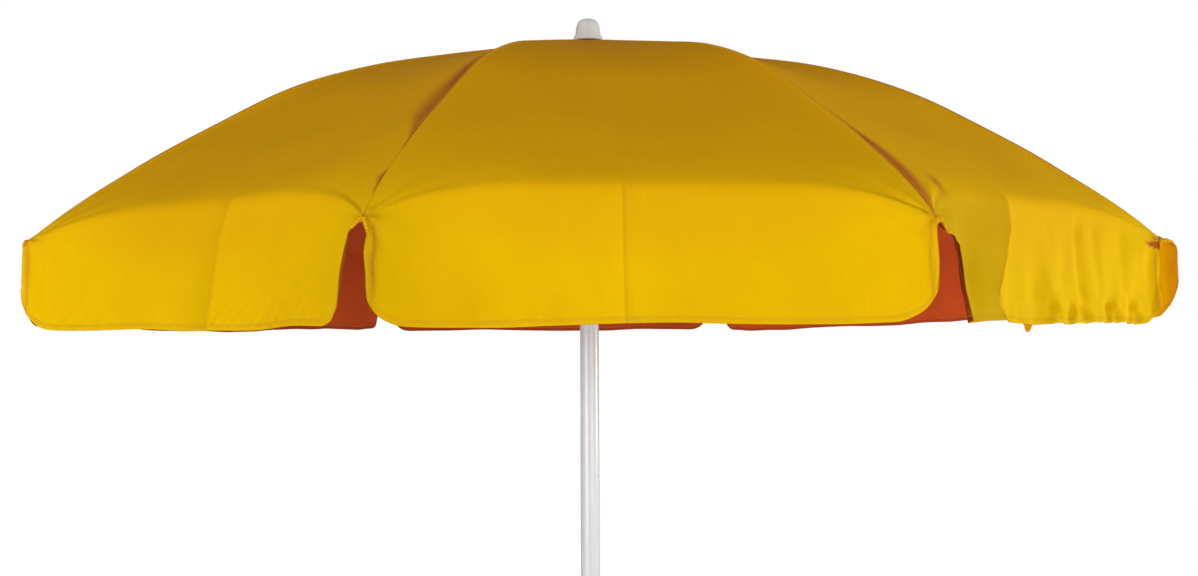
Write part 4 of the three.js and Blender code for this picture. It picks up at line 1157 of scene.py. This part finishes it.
for k in range(1, RIBS + 1):
    put(copy_turned(stretch, (k - 1) * 45, f"stretcher_rod_{k}"), f"stretcher_rod_{k}", M_STEEL, f"stretcher_{k}", "rib_steel", f"stretcher_{k}")
bpy.data.objects.remove(stretch)

# crown hub and runner: turned mouldings with eight slots for the eyes and a groove for the wire
hub = lathe("hub", rounded([(4.4, -7.6), (33, -7.6), (40, -10.2), (40, -24), (38, -26), (22, -26), (20.5, -28), (20.5, -58), (19, -60), (16.4, -60), (16.4, -12.2), (4.4, -12.2)], 0.8, 2, closed=True), [], 96)
run = lathe("run", rounded([(16.6, 8), (22, 8), (22, 6.5), (38, 6.5), (40, 4.5), (40, -8), (38, -10), (21.5, -12), (20.5, -48), (23, -52), (23, -57), (22, -58), (16.6, -58)], 0.8, 2, closed=True), [], 96)
for body_ob, z0, z1, zw in ((hub, -60, -12.4, -CROWN_DROP), (run, -5.6, 20, 0.0)):
    cutters = [turn_z(prism("s", [(24, z0), (50, z0), (50, z1), (24, z1)], -2.8, 2.8), i * 45) for i in range(RIBS)]
    boolean(body_ob, [join(cutters, "cutters")], "DIFFERENCE")
    boolean(body_ob, [octagon("w", PIVOT_R, 1.9, zw, 12)], "DIFFERENCE")
    soften(body_ob, 0.35, 2, 40)
put(shifted(hub, 0, 0, APEX), "crown_hub_moulding", M_GREY, "upper_section", "grey_plastic", "crown_hub")
put(shifted(run, 0, 0, APEX - RUNNER_DROP), "runner_moulding", M_GREY, "runner", "grey_plastic", "runner")
put(octagon("cw", PIVOT_R, 1.5, APEX - CROWN_DROP), "crown_wire_ring", M_WIRE, "upper_section", "bright_steel", "crown_wire")
put(octagon("rw", PIVOT_R, 1.5, APEX - RUNNER_DROP), "runner_wire_ring", M_WIRE, "runner", "bright_steel", "runner_wire")

# tilt joint
sock = lathe("sock", rounded([(16.4, -74), (18.6, -74), (19.6, -71), (19.6, -20), (18, -17), (0, -17), (0, -40), (16.4, -40)], 0.6, 2, closed=False) + [], [], 96)
sock2 = prism("cheek", arc(0, 0, 14, 0, 180, 40) + [(-14, -20), (14, -20)], -19.6, 19.6)
boolean(sock2, [bar("i", 19.55, (0, 0, -30), (0, 0, 20), 96)], "INTERSECT")
boss = prism("boss", [(-9, -62), (9, -62), (9, -40), (-9, -40)], -30, -14)
boolean(boss, [bar("i", 16.4, (0, 0, -80), (0, 0, -30), 96)], "DIFFERENCE")
soften(boss, 1.6, 4, 60)
boolean(sock, [sock2, boss], "UNION")
boolean(sock, [prism("gap", [(-30, -17), (30, -17), (30, 30), (-30, 30)], -6.9, 6.9), bar("ph", 4.25, (0, -40, 0), (0, 40, 0), 48), bar("bh", 6.4, (0, -17.6, -51), (0, -40, -51), 48)], "DIFFERENCE")
put(shifted(soften(sock, 0.5, 2, 38), 0, 0, TILT_Z), "tilt_socket_moulding", M_GREY, "middle_section", "grey_plastic", "tilt_socket")
tong = lathe("tong", rounded([(0, 17), (18, 17), (19.6, 20), (19.6, 74), (18.6, 77), (16.4, 77), (16.4, 33), (0, 33)], 0.6, 2), [], 96)
boolean(tong, [prism("t", arc(0, 0, 14, 180, 360, 40) + [(14, 24), (-14, 24)], -6.4, 6.4)], "UNION")
boolean(tong, [bar("ph", 4.25, (0, -40, 0), (0, 40, 0), 48)], "DIFFERENCE")
put(shifted(soften(tong, 0.5, 2, 38), 0, 0, TILT_Z), "tilt_tongue_moulding", M_GREY, "upper_section", "grey_plastic", "tilt_tongue")
pin_parts = [bar("pp", 4.0, (0, -20.5, 0), (0, 20.5, 0), 48)] + [shifted(lathe_y("ph", [(0, 0), (6.2, 0), (6.5, 0.3), (6.5, 1.1), (5.6, 1.8), (3.2, 2.2), (0, 2.3)], sgn, 48), 0, sgn * 20.2, 0) for sgn in (-1, 1)]
put(shifted(join(pin_parts, "pin"), 0, 0, TILT_Z), "tilt_pin_rivet", M_WIRE, "middle_section", "bright_steel", "tilt_pin")
but = lathe_y("but", [(0, 0), (5.8, 0), (6.0, 0.3), (6.0, 10.6), (5.6, 11.6), (4.8, 12.5), (3.0, 13.1), (1.2, 13.35), (0, 13.4)], -1, 48)
put(shifted(but, 0, -22, TILT_Z - 51), "tilt_button_cap", M_DARK, "tilt_button", "dark_plastic", "tilt_button")

# clamp
col = lathe("col", rounded([(19.3, 0), (23, 0), (25, 4), (25, 52), (23, 58), (16.7, 58), (16.7, 45.5), (19.3, 45.5)], 0.8, 3, closed=True), [], 96)
lug = shifted(lathe_y("lug", [(0, 0), (9, 0), (9, 7.4), (8.6, 8.3), (7.8, 9), (0, 9)], -1, 64), 0, -22, 32)
boolean(col, [lug], "UNION")
boolean(col, [bar("sh", 3.6, (0, -10, 32), (0, -40, 32), 40)] + [lathe("gr", [(24.6, zz - 0.9), (25.8, zz - 0.9), (25.8, zz + 0.9), (24.6, zz + 0.9)], [], 96) for zz in (9, 13)], "DIFFERENCE")
put(shifted(soften(col, 0.5, 2, 38), 0, 0, COLLAR_Z), "clamp_collar_moulding", M_GREY, "lower_section", "grey_plastic", "clamp_collar")
lobes = [((17.3 + 2.2 * math.cos(5 * a)) * math.cos(a), (17.3 + 2.2 * math.cos(5 * a)) * math.sin(a)) for a in [2 * math.pi * i / 120 for i in range(120)]]
grip = prism("grip", lobes, -43.5, -31.5)
soften(grip, 2.2, 4, 60)
boolean(grip, [shifted(lathe_y("gd", [(0, 0), (6.4, 0), (7.6, 1.4), (7.6, 4), (0, 4)], -1, 64), 0, -42.3, 0)], "DIFFERENCE")
boolean(grip, [bar("st", 3.0, (0, -17, 0), (0, -36, 0), 32), shifted(lathe_y("bt", [(0, 0), (4.2, 0), (4.2, 0.7), (3.6, 1.1), (0, 1.3)], -1, 48), 0, -42.2, 0)], "UNION")
put(shifted(soften(grip, 0.3, 2, 45), 0, 0, COLLAR_Z + 32), "clamp_knob_grip", M_DARK, "clamp_knob", "dark_plastic", "clamp_knob")

# spike
spike = lathe("sp", rounded([(0, 0), (6, 0), (9, 22), (15.5, 66), (19, 84), (19, 91.6), (16.2, 91.6), (16.2, 150), (14, 156), (0, 156)], 0.9, 3), [], 96)
put(spike, "ground_spike_moulding", M_GREY, "lower_section", "grey_plastic", "ground_spike")
NODES["spring_catch"].data.materials.clear()
NODES["spring_catch"].data.materials.append(M_WIRE)

# ------------------------------------------------------------------ seam tapes under the crown ends of the seams
for k in range(1, RIBS + 1):
    az = (k - 1) * 2 * HALF
    rr = np.linspace(44, 452, 60)
    ws = np.array([-17, -16.2, -12, -8, -4, -1.2, 0, 1.2, 4, 8, 12, 16.2, 17])
    R2, W2 = np.meshgrid(rr, ws, indexing="ij")
    sl = slope_at(R2)
    nn = np.hypot(1, sl)
    t_here = 1 - np.abs(W2) / (R2 * math.sin(HALF))
    hollow = 9.0 * np.clip(1 - t_here**2, 0, 1) * np.sin(np.pi * np.interp(R2, _r, _s) / SEAM_LEN) ** 1.3
    lower = 2.6 + 0.12 * np.abs(W2) ** 0.5 + 2.4 * np.clip(np.interp(R2, _r, _s) / SEAM_LEN - 0.1, 0, 0.35) * (1 - np.exp(-np.abs(W2) / 13))
    X2 = R2 - np.abs(W2) * math.sin(HALF)
    Y2 = W2 * math.cos(HALF)
    ca, sa = math.cos(az), math.sin(az)
    XW, YW = X2 * ca - Y2 * sa, X2 * sa + Y2 * ca
    ZW = APEX - (drop_of(R2) + hollow / nn + lower) - settle(np.hypot(XW, YW), np.arctan2(YW, XW))
    top = np.stack([XW, YW, ZW], -1)
    bot = top - np.array([0, 0, 0.55])
    nr, nc = top.shape[:2]
    verts = np.vstack([top.reshape(-1, 3), bot.reshape(-1, 3)])
    idx = np.arange(nr * nc).reshape(nr, nc)
    o = nr * nc
    fa = np.stack([idx[:-1, :-1].ravel(), idx[:-1, 1:].ravel(), idx[1:, 1:].ravel(), idx[1:, :-1].ravel()], 1)
    fb = fa[:, ::-1] + o
    rim = []
    for e in (idx[0, :], idx[-1, :][::-1], idx[:, 0][::-1], idx[:, -1]):
        rim.append(np.stack([e[:-1], e[:-1] + o, e[1:] + o, e[1:]], 1))
    uvs = np.stack([W2 / 1000, np.interp(R2, _r, _s) / 1000], -1).reshape(-1, 2)
    tape = mesh_object(f"seam_tape_{k}", verts, np.vstack([fa, fb] + rim).tolist(), [M_IN], None, np.vstack([uvs, uvs]))
    fix_normals(tape)
    tape.data.attributes.new("shade", "FLOAT", "POINT")
    tape.data.attributes.new("tone", "FLOAT", "POINT").data.foreach_set("value", np.ones(len(tape.data.vertices), np.float32))
    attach(tape, f"rib_{k}")

# ------------------------------------------------------------------ floor, light, camera
def stage_disc():
    bm = bmesh.new()
    bmesh.ops.create_circle(bm, cap_ends=True, radius=8.0, segments=128)
    me = bpy.data.meshes.new("studio_floor")
    bm.to_mesh(me)
    bm.free()
    ob = bpy.data.objects.new("studio_floor", me)
    bpy.context.scene.collection.objects.link(ob)
    ob.location.z = -0.0005
    m, nt, p, out = new_material("studio_floor_paint")
    geo = nt.nodes.new("ShaderNodeTexCoord")
    n = node(nt, "ShaderNodeTexNoise", Scale=1.5, Detail=3.0)
    nt.links.new(geo.outputs["Object"], n.inputs["Vector"])
    nt.links.new(ramp(nt, [(0.3, (0.86, 0.86, 0.855)), (0.7, (0.89, 0.89, 0.885))], n.outputs[0]), p.inputs["Base Color"])
    p.inputs["Roughness"].default_value = 0.8
    glow = nt.nodes.new("ShaderNodeEmission")
    glow.inputs[0].default_value = (0.93, 0.93, 0.925, 1)
    glow.inputs[1].default_value = 0.86
    path = nt.nodes.new("ShaderNodeLightPath")
    seen = nt.nodes.new("ShaderNodeMixShader")
    nt.links.new(math_node(nt, "MULTIPLY", path.outputs["Is Camera Ray"], 0.72), seen.inputs[0])
    nt.links.new(p.outputs[0], seen.inputs[1])
    nt.links.new(glow.outputs[0], seen.inputs[2])
    nt.links.new(seen.outputs[0], out.inputs[0])
    me.materials.append(m)


stage_disc()

world = bpy.data.worlds.new("studio")
bpy.context.scene.world = world
world.use_nodes = True
wn = world.node_tree
wn.nodes.clear()
w_out = wn.nodes.new("ShaderNodeOutputWorld")
bg_light = wn.nodes.new("ShaderNodeBackground")
bg_light.inputs[0].default_value = (1, 1, 1, 1)
bg_light.inputs[1].default_value = 0.21
bg_seen = wn.nodes.new("ShaderNodeBackground")
bg_seen.inputs[0].default_value = (1, 1, 1, 1)
bg_seen.inputs[1].default_value = 1.0
lp = wn.nodes.new("ShaderNodeLightPath")
mx = wn.nodes.new("ShaderNodeMixShader")
wn.links.new(lp.outputs["Is Camera Ray"], mx.inputs[0])
wn.links.new(bg_light.outputs[0], mx.inputs[1])
wn.links.new(bg_seen.outputs[0], mx.inputs[2])
wn.links.new(mx.outputs[0], w_out.inputs[0])

CAM_AZ = math.radians(17.16)
toward = Vector((math.sin(CAM_AZ), -math.cos(CAM_AZ), 0))
right = Vector((math.cos(CAM_AZ), math.sin(CAM_AZ), 0))
EYE_H = (APEX - 354) / 1000 - 0.1457


def area_light(name, pos, target, size, watts, colour=(1, 1, 1)):
    l = bpy.data.lights.new(name, "AREA")
    l.shape = "RECTANGLE"
    l.size, l.size_y = size
    l.energy = watts
    l.color = colour
    o = bpy.data.objects.new(name, l)
    bpy.context.scene.collection.objects.link(o)
    o.location = pos
    o.rotation_mode = "QUATERNION"
    o.rotation_quaternion = (Vector(target) - Vector(pos)).to_track_quat("-Z", "Y")
    o.visible_camera = False
    return o


centre = Vector((0, 0, 1.85))
area_light("front_right", centre + toward * 4.4 + right * 2.2 + Vector((0, 0, -0.3)), centre, (3.0, 2.2), 76)
area_light("front_left", centre + toward * 4.4 - right * 3.6 + Vector((0, 0, -0.5)), centre, (3.0, 2.4), 152)
area_light("side_right", centre + right * 4.5 - toward * 0.2 + Vector((0, 0, 0.0)), centre + right * 0.9, (1.6, 1.6), 116, (0.93, 1.0, 0.86))
area_light("back_fill", centre - toward * 5.0 - right * 1.0 + Vector((0, 0, 0.8)), centre, (4.0, 3.0), 46)
area_light("top_soft", centre + toward * 0.8 + Vector((0, 0, 4.2)), centre, (5.0, 5.0), 46)

cam_data = bpy.data.cameras.new("camera")
cam_data.sensor_width = 36.0
cam_data.lens = 53.904
cam_data.shift_x = 9.6 / 1198
cam_data.shift_y = 48.0 / 1198
cam_data.clip_start = 0.05
cam = bpy.data.objects.new("camera", cam_data)
bpy.context.scene.collection.objects.link(cam)
cam.location = Vector((0, 0, EYE_H)) + toward * (3.294 * 0.922)
cam.rotation_mode = "QUATERNION"
cam.rotation_quaternion = (Matrix.Rotation(CAM_AZ, 3, "Z") @ Matrix.Rotation(math.radians(90), 3, "X") @ Matrix.Rotation(math.radians(-0.28), 3, "Z")).to_quaternion()
bpy.context.scene.camera = cam
bpy.context.scene.view_settings.view_transform = "Standard"
bpy.context.scene.view_settings.look = "None"
